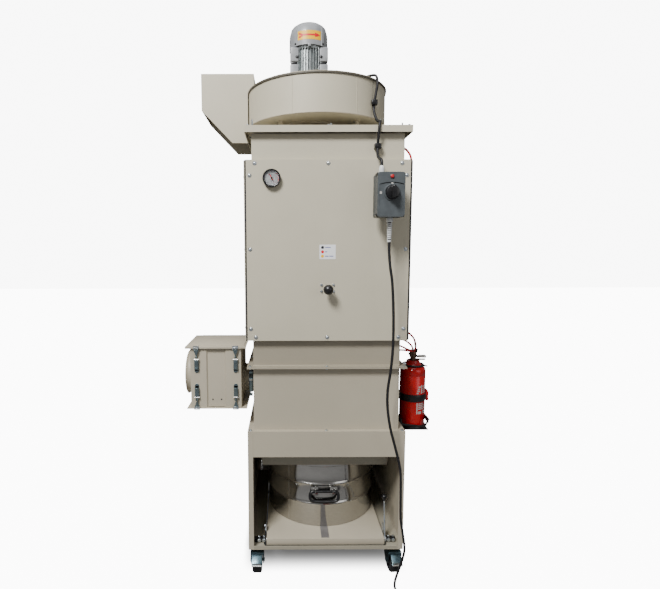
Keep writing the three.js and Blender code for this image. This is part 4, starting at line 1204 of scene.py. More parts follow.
def fan_lid():
    """Thin lid with a folded rim over a dark sealing cord, made tall so that it also paints the shade under
    the rim, and a ring of screws.
    """
    bm = bmesh.new()
    lid = [(20, 2075.2), (306, 2075.2), (310, 2075.2), (310.2, 2076.6), (309, 2078), (20, 2078)]
    ring_mm(bm, lid, FAN_X, FAN_Y, 144)
    make("lid_sheet", bm, PAINT_LOW_SHADE, "cabinet", "fan_lid")
    bm = bmesh.new()
    ring_mm(
        bm,
        [(305.2, 2068.5), (308.6, 2068.5), (309.4, 2070), (309.2, 2074), (308.4, 2075.3), (305.2, 2075.3)],
        FAN_X, FAN_Y, 144
    )
    make("lid_seal_painted_shade", bm, SEAL_CORD_SHADE, "cabinet")
    bm = bmesh.new()
    for k in range(16):
        a = 2 * math.pi * (k + 0.5) / 16
        screw_head(bm, at(FAN_X + 299 * math.cos(a), FAN_Y + 299 * math.sin(a), 2078), (0, 0, 1))
    make("lid_screws", bm, ZINC, "cabinet")


fan_casing()
fan_lid()
dress("impeller", ZINC, 0)
dress("motor_shaft", GREY_DARK, 0.4)

# ---------------------------------------------------------------- motor


def cowl_patch(bm, columns, radius, lift, index):
    """Adds thin printed film wrapped round the cowl. columns are (x, low z, high z) in millimetres."""
    def place(x, z):
        a = x / radius
        r = radius + lift
        return bm.verts.new(at(MOTOR_X + r * math.sin(a), FAN_Y - r * math.cos(a), z))

    for (x0, a0, b0), (x1, a1, b1) in zip(columns, columns[1:]):
        face = bm.faces.new([place(x0, a0), place(x1, a1), place(x1, b1), place(x0, b0)])
        face.material_index = index


def rotation_arrow(middle):
    """Yellow film with a plain red arrow that shows which way the motor turns."""
    bm = bmesh.new()
    steps = [-53 + 106 * k / 24 for k in range(25)]
    cowl_patch(bm, [(x, middle - 18.5, middle + 18.5) for x in steps], 85.2, 0.25, 0)
    shaft = [-38 + 64 * k / 14 for k in range(15)]
    cowl_patch(bm, [(x, middle - 3.6, middle + 3.6) for x in shaft], 85.2, 0.5, 1)
    head = [(24, 9), (30, 7.6), (38, 5), (48, 0.6)]
    cowl_patch(bm, [(x, middle - h, middle + h) for x, h in head], 85.2, 0.5, 1)
    fletch = [(-48, 4.4, 10.5), (-42, 2.4, 9.4), (-36, 0.2, 7.2), (-28, 0.1, 3.6)]
    cowl_patch(bm, [(x, middle + low, middle + high) for x, low, high in fletch], 85.2, 0.5, 1)
    cowl_patch(bm, [(x, middle - high, middle - low) for x, low, high in fletch], 85.2, 0.5, 1)
    bmesh.ops.remove_doubles(bm, verts=bm.verts, dist=1e-6)
    make("rotation_arrow", bm, [YELLOW_INK, RED_INK], "cabinet", recalc=False)


def fan_cowl():
    """Pressed cowl: conical shoulder, four ribs with their screws, and a wire grille on top."""
    bm = bmesh.new()
    outer = [
        (83, 2266.3), (85, 2266.3), (85, 2314), (83.6, 2328), (77, 2352), (71, 2359.5), (58, 2368.5),
        (44, 2373), (41, 2373.4)
    ]
    inner = [(41, 2371.4), (57, 2366.6), (69.4, 2357.8), (75.2, 2351), (81.6, 2327.6), (83, 2314)]
    ring_mm(bm, outer + inner, MOTOR_X, FAN_Y, 96)
    shell = make("cowl_shell", bm, SILVER_PAINT, "cabinet", "fan_cowl")
    shell.data.set_sharp_from_angle(angle=math.radians(50))

    bm = bmesh.new()
    for r in (12, 22, 32, 41):
        torus(bm, at(MOTOR_X, FAN_Y, 2372.2), r * MM, 1.3 * MM, "Z", 48, 8)
    for k in range(4):
        a = math.pi * k / 4
        dx, dy = 41 * math.cos(a), 41 * math.sin(a)
        bar(bm, at(MOTOR_X - dx, FAN_Y - dy, 2371), at(MOTOR_X + dx, FAN_Y + dy, 2371), 1.3 * MM, 8)
    make("cowl_grille", bm, SILVER_PAINT, "cabinet")

    bm = bmesh.new()
    for degrees in (-133, -47, 47, 133):
        a = math.radians(degrees)
        out, along = Vector((math.cos(a), math.sin(a))), Vector((-math.sin(a), math.cos(a)))
        levels = [(2264.5, 8.5, 87.6), (2308, 8, 87.6), (2326, 6.5, 86.2), (2344, 5, 80.4)]
        rows = []
        for z, half, r in levels:
            corners = [(r - 5, -half), (r, -half + 1.2), (r, half - 1.2), (r - 5, half)]
            rows.append(
                [bm.verts.new(at(MOTOR_X + out.x * p + along.x * q, FAN_Y + out.y * p + along.y * q, z))
                for p, q in corners]
            )
        for low, high in zip(rows, rows[1:]):
            for k in range(4):
                bm.faces.new((low[k], low[(k + 1) % 4], high[(k + 1) % 4], high[k]))
        bm.faces.new(rows[0][::-1])
        bm.faces.new(rows[-1])
        place = at(MOTOR_X + out.x * 87.6, FAN_Y + out.y * 87.6, 2274)
        screw_head(bm, place, (out.x, out.y, 0), 3.4 * MM, 4.6 * MM, 1)
    brick(bm, at(MOTOR_X - 6, FAN_Y - 87, 2258), at(MOTOR_X + 6, FAN_Y - 84, 2270), 0.8 * MM)
    make("cowl_ribs", bm, [SILVER_PAINT, BLACK], "cabinet")


def motor_body():
    """Finned stator between two bearing shields, foot pads with bolts, flange and terminal box."""
    foot, top = 2078.3, 2274
    bm = bmesh.new()
    ring_mm(
        bm,
        [(13.2, foot), (97, foot), (98, foot + 1), (98, foot + 11), (96.6, foot + 13), (13.2, foot + 13)],
        MOTOR_X, FAN_Y, 72
    )
    ring_mm(
        bm, [(13.2, foot + 13), (74, foot + 13), (74, foot + 20), (66, foot + 24), (13.2, foot + 24)],
        MOTOR_X, FAN_Y, 72
    )
    ring_mm(
        bm, [(13.2, top - 18), (75, top - 18), (76, top - 16), (76, top - 1), (75, top), (13.2, top)],
        MOTOR_X, FAN_Y, 72
    )
    ring_mm(bm, [(13.2, foot + 20), (67, foot + 20), (67, top - 16), (13.2, top - 16)], MOTOR_X, FAN_Y, 72)
    for k in range(40):
        a = 2 * math.pi * (k + 0.5) / 40
        out, along = Vector((math.cos(a), math.sin(a))), Vector((-math.sin(a), math.cos(a)))
        corners = [(64, -1.5), (78.5, -1.0), (79, -0.5), (79, 0.5), (78.5, 1.0), (64, 1.5)]
        fin = [(MOTOR_X + out.x * p + along.x * q, FAN_Y + out.y * p + along.y * q) for p, q in corners]
        slab(bm, [tuple(at(x, y, 0)[:2]) for x, y in fin], "Z", (foot + 17) * MM, (top - 13) * MM)
    make("motor_body", bm, MOTOR_GREY, "cabinet", "motor_housing")

    bm = bmesh.new()
    for side in (-1, 1):
        x0, x1 = sorted((MOTOR_X + side * 45, MOTOR_X + side * 83))
        for z0, z1 in ((foot + 14, 2192), (2203, 2264)):
            brick(bm, at(x0, FAN_Y - 62, z0), at(x1, FAN_Y - 34, z1), 4 * MM, 0, 3)
            brick(bm, at(x0 + 6, FAN_Y - 40, z0 + 4), at(x1 - 2, FAN_Y + 40, z1 - 8), 2 * MM)
        # the black strip between the pads paints the shade under the upper pad
        brick(bm, at(x0 + 3, FAN_Y - 58, 2191), at(x1 - 3, FAN_Y - 36, 2204), 1 * MM, 2)
        screw_head(bm, at(MOTOR_X + side * 53, FAN_Y - 62, 2222), (0, -1, 0), 4.4 * MM, 6.4 * MM, 2, "hex")
        screw_head(bm, at(MOTOR_X + side * 53, FAN_Y - 62, 2112), (0, -1, 0), 4.4 * MM, 6.4 * MM, 2, "hex")
    for degrees in (-135, -45, 45, 135):
        a = math.radians(degrees)
        screw_head(
            bm, at(MOTOR_X + 88 * math.cos(a), FAN_Y + 88 * math.sin(a), foot + 13), (0, 0, 1), 5 * MM,
            7.5 * MM, 1, "hex"
        )
    make("motor_pads", bm, [SILVER_PAINT, ZINC, BLACK], "cabinet")

    bm = bmesh.new()
    brick(bm, at(MOTOR_X + 60, FAN_Y - 42, 2102), at(MOTOR_X + 108, FAN_Y + 42, 2168), 4 * MM, 0, 3)
    brick(bm, at(MOTOR_X + 107, FAN_Y - 42.6, 2101.4), at(MOTOR_X + 112, FAN_Y + 42.6, 2168.6), 1.6 * MM)
    for y in (-35, 35):
        for z in (2108, 2162):
            screw_head(bm, at(MOTOR_X + 112, FAN_Y + y, z), (1, 0, 0), 3 * MM, 4 * MM, 1)
    make("terminal_box", bm, [SILVER_PAINT, ZINC], "cabinet")
    bm = bmesh.new()
    x, y, z = MOTOR_X + 86, FAN_Y - 41, 2125
    bar(bm, at(x, y, z), at(x, y - 8, z), 10.4 * MM, 6, chamfer=0.8 * MM)
    bar(bm, at(x, y - 7.6, z), at(x, y - 17.6, z), 9.4 * MM, 32, 7.4 * MM, chamfer=1.2 * MM)
    make("terminal_gland", bm, BLACK, "cabinet")


MOTOR_CABLE = [
    (25, 291.7, 2125), (25, 270, 2125), (55, 230, 2116), (
        103, 198, 2100
    ), (157, 172, 2093), (184, 146, 2093), (202, 126, 2085),
    (207, 119, 2058), (
        203, 122, 2020
    ), (197, 126, 1980), (196, 123, 1945), (203, 100, 1906), (206, 50, 1886), (200, 10, 1876),
    (194, -8, 1862), (192, -8, 1838), (191, -2, 1812), (191, 6, 1783), (
        187, -10, 1752
    ), (184, -50, 1728), (189, -84, 1712),
    (189, -85, 1694.4),
]


def motor_wiring():
    line = [at(*p) for p in MOTOR_CABLE] + [at(189, -85, 1690)]
    pipe("motor_lead", line, 5.2 * MM, CABLE, "cabinet", "motor_cable", 5)
    bm = bmesh.new()
    brick(bm, at(185, 113, 1970), at(209, 137, 1990), 2 * MM)
    brick(bm, at(179, -2, 1773), at(204, 24.5, 1793), 2 * MM)
    torus(bm, at(197, 125.6, 1980), 5.4 * MM, 1.6 * MM, "Z", 32, 8)
    torus(bm, at(191, 4, 1783), 5.4 * MM, 1.6 * MM, "Z", 32, 8)
    make("cable_clips", bm, BLACK, "cabinet")
    bm = bmesh.new()
    bar(bm, at(205, 34, 1861), at(205, 34, 1890), 3 * MM, 16, chamfer=0.6 * MM)
    brick(bm, at(196, 26, 1861.2), at(214, 42, 1863.4), 0.6 * MM)
    screw_head(bm, at(205, 34, 1863.2), (0, 0, 1), 4.4 * MM, 6.4 * MM, kind="hex")
    make("cable_stud", bm, ZINC, "cabinet")


fan_cowl()
rotation_arrow(2305)
motor_body()
motor_wiring()

# ---------------------------------------------------------------- inlet box

# Bluish zinc, darkened to paint in the dark reflections on the latches, their base plates and the duct clamp.
LATCH_ZINC_PAINTED_REFLECTION = plated_zinc("latch_zinc_painted_reflection", (0.24, 0.31, 0.34))
BOX_LEFT, BOX_RIGHT, BOX_FRONT, BOX_BACK, BOX_BOTTOM, BOX_TOP = -565, -353, 75, 306, 723, 983
PORT_Y, SPIGOT_Z, DUCT_Z = 190, 845, 821
COVER_FACE = BOX_FRONT - 16


def inlet_body():
    """Folded box with a lid and floor plate that overhang it."""
    bm = bmesh.new()
    brick(bm, at(BOX_LEFT, BOX_FRONT, BOX_BOTTOM), at(BOX_RIGHT, BOX_BACK, BOX_TOP), 1.2 * MM)
    body = make("inlet_shell", bm, PAINT_LOW_SHADE, "cabinet", "inlet_box")
    tool = bmesh.new()
    brick(
        tool, at(BOX_LEFT + 2.5, BOX_FRONT - 4, BOX_BOTTOM + 2.5),
        at(BOX_RIGHT - 2.5, BOX_BACK - 2.5, BOX_TOP - 2.5)
    )
    cut_with(body, tool)
    for x0, x1, z, radius in (
        (BOX_LEFT - 5, BOX_LEFT + 6, SPIGOT_Z, 87.5), (BOX_RIGHT - 6, BOX_RIGHT + 5, DUCT_Z, 57)
    ):
        tool = bmesh.new()
        bar(tool, at(x0, PORT_Y, z), at(x1, PORT_Y, z), radius * MM, 72)
        cut_with(body, tool)

    bm = bmesh.new()
    brick(bm, at(-585, 50, BOX_TOP - 1), at(-331, BOX_BACK + 5, BOX_TOP + 3), 1.2 * MM)
    brick(bm, at(-582, 52, BOX_BOTTOM - 3), at(-329, BOX_BACK + 5, BOX_BOTTOM + 1), 1.2 * MM)
    brick(bm, at(-585, 50, BOX_TOP - 6), at(-331, 52.4, BOX_TOP + 1), 0.8 * MM)
    brick(bm, at(-553, 66, BOX_TOP + 2.6), at(-340, BOX_BACK - 4, BOX_TOP + 5.4), 1.2 * MM)
    make("inlet_lid_and_floor", bm, PAINT_LOW_SHADE, "cabinet")


def inlet_tubes():
    """Round hose spigot with a rolled rim on the left and the clamped duct to the hopper on the right."""
    bm = bmesh.new()
    spigot = [
        (87.5, -564), (90, -564), (90, -585), (91, -589), (94.4, -592), (95, -594), (94, -596), (90, -596),
        (87.5, -593)
    ]
    turned(bm, [(r * MM, x * MM) for r, x in spigot], at(0, PORT_Y, SPIGOT_Z), "X", 96, closed=True)
    axis = at(0, PORT_Y, DUCT_Z)
    duct = [
        (57, -354), (76, -354), (76, -347.6), (61.5, -347), (60, -345), (60, -307), (64.5, -304.6),
        (64.5, -300.4), (57, -300.4)
    ]
    turned(bm, [(r * MM, x * MM) for r, x in duct], axis, "X", 72, closed=True)
    make("inlet_tubes", bm, PAINT_LOW_SHADE, "cabinet")

    bm = bmesh.new()
    clamp = [
        (60.4, -326), (64, -327), (64.6, -324), (66.6, -321), (66.6, -312), (64.6, -309), (64, -306),
        (60.4, -307)
    ]
    turned(bm, [(r * MM, x * MM) for r, x in clamp], axis, "X", 72, closed=True, index=1)
    x, y, z = -317, PORT_Y - 65, DUCT_Z - 17
    brick(bm, at(x - 7, y - 7, z - 50), at(x + 7, y + 6, z - 38), 1 * MM)
    brick(bm, at(x - 7, y - 9, z - 32), at(x + 7, y - 4, z + 30), 1 * MM)
    brick(bm, at(x - 9, y - 12, z + 18), at(x + 9, y - 6, z + 28), 2 * MM, 2)
    bar(bm, at(x - 4, y - 6, z + 24), at(x - 4, y - 4, z + 54), 1.8 * MM, 12)
    bar(bm, at(x + 4, y - 6, z + 24), at(x + 4, y - 4, z + 54), 1.8 * MM, 12)
    brick(bm, at(x - 8, y - 8, z + 50), at(x + 8, y + 6, z + 58), 1 * MM)
    make("duct_clamp", bm, [LATCH_ZINC_PAINTED_REFLECTION, RUBBER, STEEL], "cabinet")


def latch_sites():
    """Where the four toggle latches sit: pin X, pin Z and which way the hook points."""
    return [
        ("top_left", -538.5, 888, 1), ("bottom_left", -538.5, 813, -1),
        ("top_right", -376, 888, 1), ("bottom_right", -376, 813, -1),
    ]


def inlet_cover():
    """Removable tray cover with a pressed channel, two small holes drawn as black discs of painted shade, and
    the latches' base plates.
    """
    low, high = BOX_BOTTOM + 1.3, BOX_TOP - 1.3
    channel_left, channel_right, channel_deep = -493, -422, 6
    bm = bmesh.new()
    outline = [
        (BOX_LEFT, BOX_FRONT - 0.3), (BOX_LEFT, COVER_FACE), (channel_left - 5, COVER_FACE), (
            channel_left, COVER_FACE + channel_deep
        ),
        (channel_right, COVER_FACE + channel_deep), (channel_right + 5, COVER_FACE), (BOX_RIGHT, COVER_FACE),
        (BOX_RIGHT, BOX_FRONT - 0.3),
    ]
    inner = [
        (x + (2.4 if x == BOX_LEFT else -2.4 if x == BOX_RIGHT else 0), y + (2.4 if y < BOX_FRONT - 1 else 0))
        for x, y in outline
    ]
    section = [tuple(at(x, y, 0)[:2]) for x, y in outline + inner[::-1]]
    slab(bm, section, "Z", low * MM, high * MM)
    brick(bm, at(BOX_LEFT + 1, COVER_FACE + 6, low), at(BOX_RIGHT - 1, BOX_FRONT - 0.3, low + 2.4), 0.4 * MM)
    brick(
        bm, at(BOX_LEFT + 1, COVER_FACE + 6, high - 2.4), at(BOX_RIGHT - 1, BOX_FRONT - 0.3, high), 0.4 * MM
    )
    cover = make("cover_tray", bm, PAINT_LOW_SHADE, "cover", "inlet_cover")
    eased = cover.modifiers.new("eased_edges", "BEVEL")
    eased.width = 1.4 * MM
    eased.segments = 3
    eased.limit_method = "ANGLE"
    eased.angle_limit = math.radians(30)
    eased.harden_normals = True

    bm = bmesh.new()
    # The holes are flat black discs: painted shade in place of openings.
    for x in (-474, -438):
        turned(
            bm, [(0, 0), (3.4 * MM, 0), (3.4 * MM, 0.5 * MM), (0, 0.5 * MM)],
            at(x, COVER_FACE + channel_deep + 0.2, 757), "-Y", 20
        )
    make("cover_holes_painted_shade", bm, INK, "cover")

    bm = bmesh.new()
    for _, x, z, up in latch_sites():
        z0, z1 = sorted((z - up * 6, z + up * 44))
        brick(bm, at(x - 9, COVER_FACE - 3, z0), at(x + 9, COVER_FACE + 0.4, z1), 1 * MM)
        bar(
            bm, at(x, COVER_FACE - 3, z - up * 5), at(x, COVER_FACE + 0.4, z - up * 5), 9 * MM, 28,
            chamfer=0.6 * MM
        )
        for side in (-1, 1):
            screw_head(bm, at(x + side * 5.4, COVER_FACE - 3, z + up * 41), (0, -1, 0), 2 * MM, 2.6 * MM)
    make("latch_bases", bm, LATCH_ZINC_PAINTED_REFLECTION, "cover")


def toggle_latch(name, x, z, up):
    """Channel lever with a turned-out tip, cross pin, threaded hook and its T-shaped end."""
    face = COVER_FACE - 3.3
    bm = bmesh.new()

    def part(x0, y0, z0, x1, y1, z1, bevel=0.8, index=0):
        a, b = sorted((z + up * z0, z + up * z1))
        brick(bm, at(x + x0, face + y0, a), at(x + x1, face + y1, b), bevel * MM, index)

    part(-8, -8.6, 2, 8, -6.4, 40)
    part(-8, -8.6, 0, -6.4, -0.6, 40, 0.5)
    part(6.4, -8.6, 0, 8, -0.6, 40, 0.5)
    part(-7, -10.4, 2, 7, -7.6, 9, 1.2)
    bar(
        bm, at(x - 11, face - 4.5, z + up * 43), at(x + 11, face - 4.5, z + up * 43), 4.2 * MM, 24, index=1,
        chamfer=1 * MM
    )
    bar(bm, at(x, face - 5, z + up * 40), at(x, face - 5.6, z + up * 84), 2.6 * MM, 16, chamfer=0.4 * MM)
    bar(bm, at(x, face - 5, z + up * 50), at(x, face - 5, z + up * 57), 5 * MM, 6, chamfer=0.5 * MM)
    blade = [(-3, 62), (3, 62), (9.5, 80), (9.5, 86), (-9.5, 86), (-9.5, 80)]
    slab(
        bm, outline_mm([(x + a, z + up * b)
        for a, b in blade]), "Y", deep(face - 7.4), deep(face - 4.4), 0.5 * MM
    )
    make(
        "toggle_" + name, bm, [LATCH_ZINC_PAINTED_REFLECTION, STEEL], "latch_" + name[0] + name.split("_")[1][0],
        "latch_" + name
    )


def latch_catches():
    """Catch plates on the lid's and floor's front edges that the hooks pull on."""
    bm = bmesh.new()
    for x in (-538.5, -376):
        for z0, z1 in ((BOX_TOP - 6, BOX_TOP + 7), (BOX_BOTTOM - 5, BOX_BOTTOM + 8)):
            brick(bm, at(x - 12, 47, z0), at(x + 12, 49.6, z1), 0.8 * MM)
            brick(bm, at(x - 12, 43.6, z0 + 3), at(x + 12, 49, z0 + 6), 0.8 * MM)
    make("latch_catches", bm, ZINC, "cabinet")


inlet_body()
inlet_tubes()
inlet_cover()
latch_catches()
for site in latch_sites():
    toggle_latch(*site)

# ---------------------------------------------------------------- fire extinguisher

BOTTLE_X, BOTTLE_Y, BOTTLE_R = 403, 200, 56


def bottle():
    bm = bmesh.new()
    profile = [
        (0, 604), (40, 604), (46, 600), (52, 600.6), (55, 603.5), (56, 609), (56, 827), (55.2, 828), (
            55.2, 829.4
        ), (56, 830.4),
        (56, 846), (55.2, 854), (52.4, 860), (
            47.4, 865.5
        ), (40.6, 871), (34.4, 876.6), (30.4, 882), (28.6, 887), (28, 891.5), (0, 891.5),
    ]
    solid_mm(bm, profile, BOTTLE_X, BOTTLE_Y, 96)
    make("bottle_shell", bm, RED, "cabinet", "extinguisher_bottle", 40)


def bottle_labels():
    """Two generic labels on the bottle: pale blocks, bars and pictogram-like squares, no lettering."""
    bm = bmesh.new()

    def patch(a0, a1, z0, z1, index=0, lift=0.3):
        steps = max(2, int((a1 - a0) / 4))
        radius = BOTTLE_R + lift
        rows = []
        for k in range(steps + 1):
            a = math.radians(a0 + (a1 - a0) * k / steps)
            x, y = BOTTLE_X + radius * math.sin(a), BOTTLE_Y - radius * math.cos(a)
            rows.append((bm.verts.new(at(x, y, z0)), bm.verts.new(at(x, y, z1))))
        for (p, q), (r, s) in zip(rows, rows[1:]):
            bm.faces.new((p, r, s, q)).material_index = index

    for k, width in enumerate((9, 12, 8, 11)):
        patch(5 + 3 * k, 5 + 3 * k + width, 752 + 9 * k, 758 + 9 * k)
        patch(36, 62 + 3 * (k % 2), 754 + 9 * k, 759 + 9 * k)
    patch(26, 33, 752, 790)
    patch(5, 11, 660, 710)
    for k, z in enumerate((704, 696, 688, 680)):
        patch(14, 44 + 7 * (k % 3), z, z + 5)
        patch(56, 72, z, z + 4)
    patch(14, 30, 660, 672)
    patch(40, 62, 662, 676)
    make("bottle_labels", bm, [PALE_GREY, RED], "cabinet", recalc=False)


def bottle_valve():
    """Bronze valve with its side ports, black discharge nozzle and the fixed lower handle."""
    x, y, z = BOTTLE_X, BOTTLE_Y, 891
    bm = bmesh.new()
    bar(bm, at(x, y, z), at(x, y, z + 9), 17 * MM, 6, chamfer=1.2 * MM)
    bar(bm, at(x, y, z + 8), at(x, y, z + 34), 13 * MM, 32, 11 * MM, chamfer=1.5 * MM)
    brick(bm, at(x - 14, y - 10, z + 12), at(x + 12, y + 10, z + 38), 2 * MM)
    bar(bm, at(x - 4, y, z + 34), at(x - 4, y, z + 49), 7 * MM, 6, chamfer=1 * MM)
    bar(bm, at(x - 20, y, z + 29), at(x - 10, y, z + 29), 6.5 * MM, 6, chamfer=0.8 * MM)
    make("bottle_valve", bm, BRASS, "cabinet")
    bm = bmesh.new()
    bar(bm, at(x + 9, y, z + 28), at(x + 16, y, z + 52), 5.8 * MM, 24, 7 * MM, chamfer=1 * MM)
    bar(bm, at(x + 13, y - 11, z + 24), at(x + 13, y + 11, z + 24), 4 * MM, 20, chamfer=0.8 * MM)
    make("bottle_nozzle", bm, BLACK, "cabinet")
    bm = bmesh.new()
    handle = [
        (x + 10, z + 1), (x + 50, z + 1.2), (x + 54, z + 3), (x + 54, z + 6), (x + 44, z + 5.4),
        (x + 12, z + 8)
    ]
    slab(bm, outline_mm(handle), "Y", deep(y - 8.5), deep(y + 8.5), 1 * MM)
    make("bottle_handle", bm, BRASS, "cabinet")

    node = Extent("extinguisher_lever")
    bm = bmesh.new()
    x0, x1 = node.x0 / MM, node.x1 / MM
    top = node.z1 / MM
    outline = [
        (x0, top - 5), (x1 - 3, top - 6.6), (x1, top - 5), (x1, top + 3), (x1 - 4, top + 5),
        (x0 + 12, top + 5), (x0, top)
    ]
    points = [(a * MM, b * MM) for a, b in outline]
    slab(bm, points, "Y", node.cy - 8 * MM, node.cy + 8 * MM, 1.6 * MM, 0, 3)
    make("squeeze_lever", bm, PALE_GREY, "extinguisher_trigger", "extinguisher_lever")


def bottle_bracket():
    """Back plate, strap with its red over-centre buckle, neck ring with an arm, and the tilted foot tray."""
    x, y = BOTTLE_X, BOTTLE_Y
    bm = bmesh.new()
    brick(bm, at(325.5, y - 38, 590), at(329, y + 38, 925), 1 * MM)
    strap = [(56.6, 715), (59.6, 716), (60.4, 718), (60.4, 744), (59.6, 746), (56.6, 747)]
    ring_mm(bm, strap, x, y, 96)
    brick(bm, at(328, y - 20, 719), at(349, y + 20, 743), 2 * MM)
    ring_mm(bm, [(56.5, 594), (60, 594), (60, 603), (58.6, 605), (56.5, 605)], x, y, 72)
    make("bottle_bracket_frame", bm, BLACK, "cabinet", "extinguisher_bracket", 40)

    bm = bmesh.new()
    hoop = [
        (337, 642), (337, 618), (
            342, 613
        ), (443, 602), (450, 604), (467, 640), (462, 645), (456, 638), (445, 611), (440, 609), (346, 619),
        (344, 642),
    ]
    for y0, y1 in ((y - 62, y - 58), (y + 58, y + 62)):
        slab(bm, outline_mm(hoop), "Y", deep(y0), deep(y1), 1 * MM)
    for x0, z0, z1 in ((337, 616, 641), (459, 622, 644)):
        brick(bm, at(x0, y - 60, z0), at(x0 + 5, y + 60, z1), 1 * MM)
    brick(bm, at(337, y - 60, 590), at(462, y + 60, 595), 1 * MM)
    brick(bm, at(337, y - 60, 592), at(341, y + 60, 620), 1 * MM)
    make("bottle_tray", bm, BLACK, "cabinet")

    bm = bmesh.new()
    torus(bm, at(x, y, 872), 45 * MM, 4.4 * MM, "Z", 72, 12)
    bar(bm, at(x + 38, y - 20, 873), at(458, y - 34, 872), 4 * MM, 16, 3 * MM, chamfer=1 * MM)
    bar(bm, at(x - 42, y - 8, 873), at(326, y - 14, 884), 4 * MM, 16, chamfer=1 * MM)
    make("neck_ring", bm, BLACK, "cabinet")
    bm = bmesh.new()
    brick(bm, at(330, y - 26, 872), at(366, y - 14, 884), 1 * MM)
    screw_head(bm, at(349, y - 26, 878), (0, -1, 0), 4 * MM, 6 * MM, kind="hex")
    screw_head(bm, at(360, y - 26, 878), (0, -1, 0), 3 * MM, 4 * MM)
    make("neck_ring_bracket", bm, ZINC, "cabinet")

    bm = bmesh.new()
    buckle = [(460.5, 712), (464, 708), (474, 709), (474.4, 748), (469, 757), (460.5, 761)]
    slab(bm, outline_mm(buckle), "Y", deep(y - 13), deep(y + 13), 1.4 * MM, 0, 3)
    make("strap_buckle", bm, RED_PLASTIC, "cabinet")


DETECTION_ROUTE = [
    (
        293.3, 60, 1786
    ), (302, 60, 1787), (318, 58, 1776), (333, 56, 1750), (334, 55, 1700), (334, 60, 1400), (334, 90, 1080),
    (
        345, 130, 1040
    ), (380, 175, 1014), (402, 190, 990), (412, 196, 962), (411, 198, 940), (402, 200, 926), (390, 200, 921),
]
SENSOR_ROUTES = [
    [
        (294, 180, 985), (320, 186, 990), (352, 192, 986), (378, 196, 972), (397, 199, 952),
        (404, 200, 932), (404, 200, 920)
    ],
    [(294, 186, 972), (325, 190, 964), (352, 194, 953), (376, 196, 941), (396, 197, 933), (399, 198, 922)],
    [(294, 192, 938), (325, 192, 938), (352, 193, 938), (376, 194, 935), (392, 196, 931), (397, 198, 924)],
]


def red_tubes():
    pipe(
        "detection_line", [at(*p)
        for p in DETECTION_ROUTE], 4.4 * MM, RED_PLASTIC, "cabinet", "detection_tube", 5
    )
    for k, route in enumerate(SENSOR_ROUTES):
        pipe(
            "sensor_line_" + str(k + 1), [at(*p)
            for p in route], 4.2 * MM, RED_PLASTIC, "cabinet", (), 5
        )
    bm = bmesh.new()
    bar(bm, at(408.8, 195, 974), at(412, 196, 954), 4.6 * MM, 20, chamfer=1 * MM)
    make("line_connector", bm, PALE_GREY, "cabinet")
    bm = bmesh.new()
    for route in SENSOR_ROUTES:
        px, py, pz = route[0]
        bar(bm, at(px - 1, py, pz), at(px + 7, py, pz), 5 * MM, 6, chamfer=0.8 * MM)
    make("line_glands", bm, BLACK, "cabinet")


bottle()
bottle_labels()
bottle_valve()
bottle_bracket()
red_tubes()

# ---------------------------------------------------------------- dust drum and lift

DRUM_R, DRUM_LOW, DRUM_HIGH = 249.5, 165.3, 455
DEPTH_MIDDLE = 350
GRIP_PIVOT = 330


def drum_shell():
    """Polished sheet drum: rolled foot, two beads with narrow shoulders, wired rim."""
    def bead(z):
        return [
            (DRUM_R, z - 9), (DRUM_R + 1.4, z - 6), (DRUM_R + 4, z - 2), (DRUM_R + 4.2, z + 2),
            (DRUM_R + 1.4, z + 6), (DRUM_R, z + 9)
        ]

    outside = [
        (DRUM_R - 10, DRUM_LOW + 0.4), (DRUM_R - 5, DRUM_LOW), (DRUM_R - 0.6, DRUM_LOW + 1.4),
        (DRUM_R, DRUM_LOW + 5)
    ]
    outside += bead(271) + bead(361)
    rim = [
        (DRUM_R, DRUM_HIGH - 16), (DRUM_R + 3, DRUM_HIGH - 13), (DRUM_R + 4, DRUM_HIGH - 7),
        (DRUM_R + 3, DRUM_HIGH - 1), (DRUM_R, DRUM_HIGH)
    ]
    inside = [(DRUM_R - 2.4, DRUM_HIGH - 1), (DRUM_R - 2.4, DRUM_LOW + 9), (DRUM_R - 10, DRUM_LOW + 7)]
    bm = bmesh.new()
    ring_mm(bm, outside + rim + inside, 0, DEPTH_MIDDLE, 160)
    solid_mm(
        bm,
        [(0, DRUM_LOW + 5), (DRUM_R - 9, DRUM_LOW + 5), (DRUM_R - 9, DRUM_LOW + 7.4), (0, DRUM_LOW + 7.4)],
        0, DEPTH_MIDDLE, 96
    )
    front = DEPTH_MIDDLE - DRUM_R
    for side in (-1, 1):
        x = side * 42
        for inner in (-5, 3.4):
            brick(
                bm, at(x + inner, front - 11.6, GRIP_PIVOT - 14),
                at(x + inner + 1.6, front + 2, GRIP_PIVOT + 12), 0.5 * MM
            )
        brick(
            bm, at(x - 16, front - 1.6, GRIP_PIVOT - 20), at(x + 16, front + 2.5, GRIP_PIVOT + 20), 0.8 * MM
        )
        bar(bm, at(x - 5.6, front - 6, GRIP_PIVOT), at(x + 5.6, front - 6, GRIP_PIVOT), 3.6 * MM, 20)
    make("drum_shell", bm, STAINLESS, "drum", "dust_drum", 28)

    bm = bmesh.new()
    a = math.radians(-38 - 90)
    x, y = DRUM_R * math.cos(a), DEPTH_MIDDLE + DRUM_R * math.sin(a)
    for low, high in ((DRUM_LOW + 6, 260), (281, 351), (371, DRUM_HIGH - 17)):
        bar(bm, at(x, y, low), at(x, y, high), 0.5 * MM, 8)
    make("drum_seam", bm, STEEL, "drum")


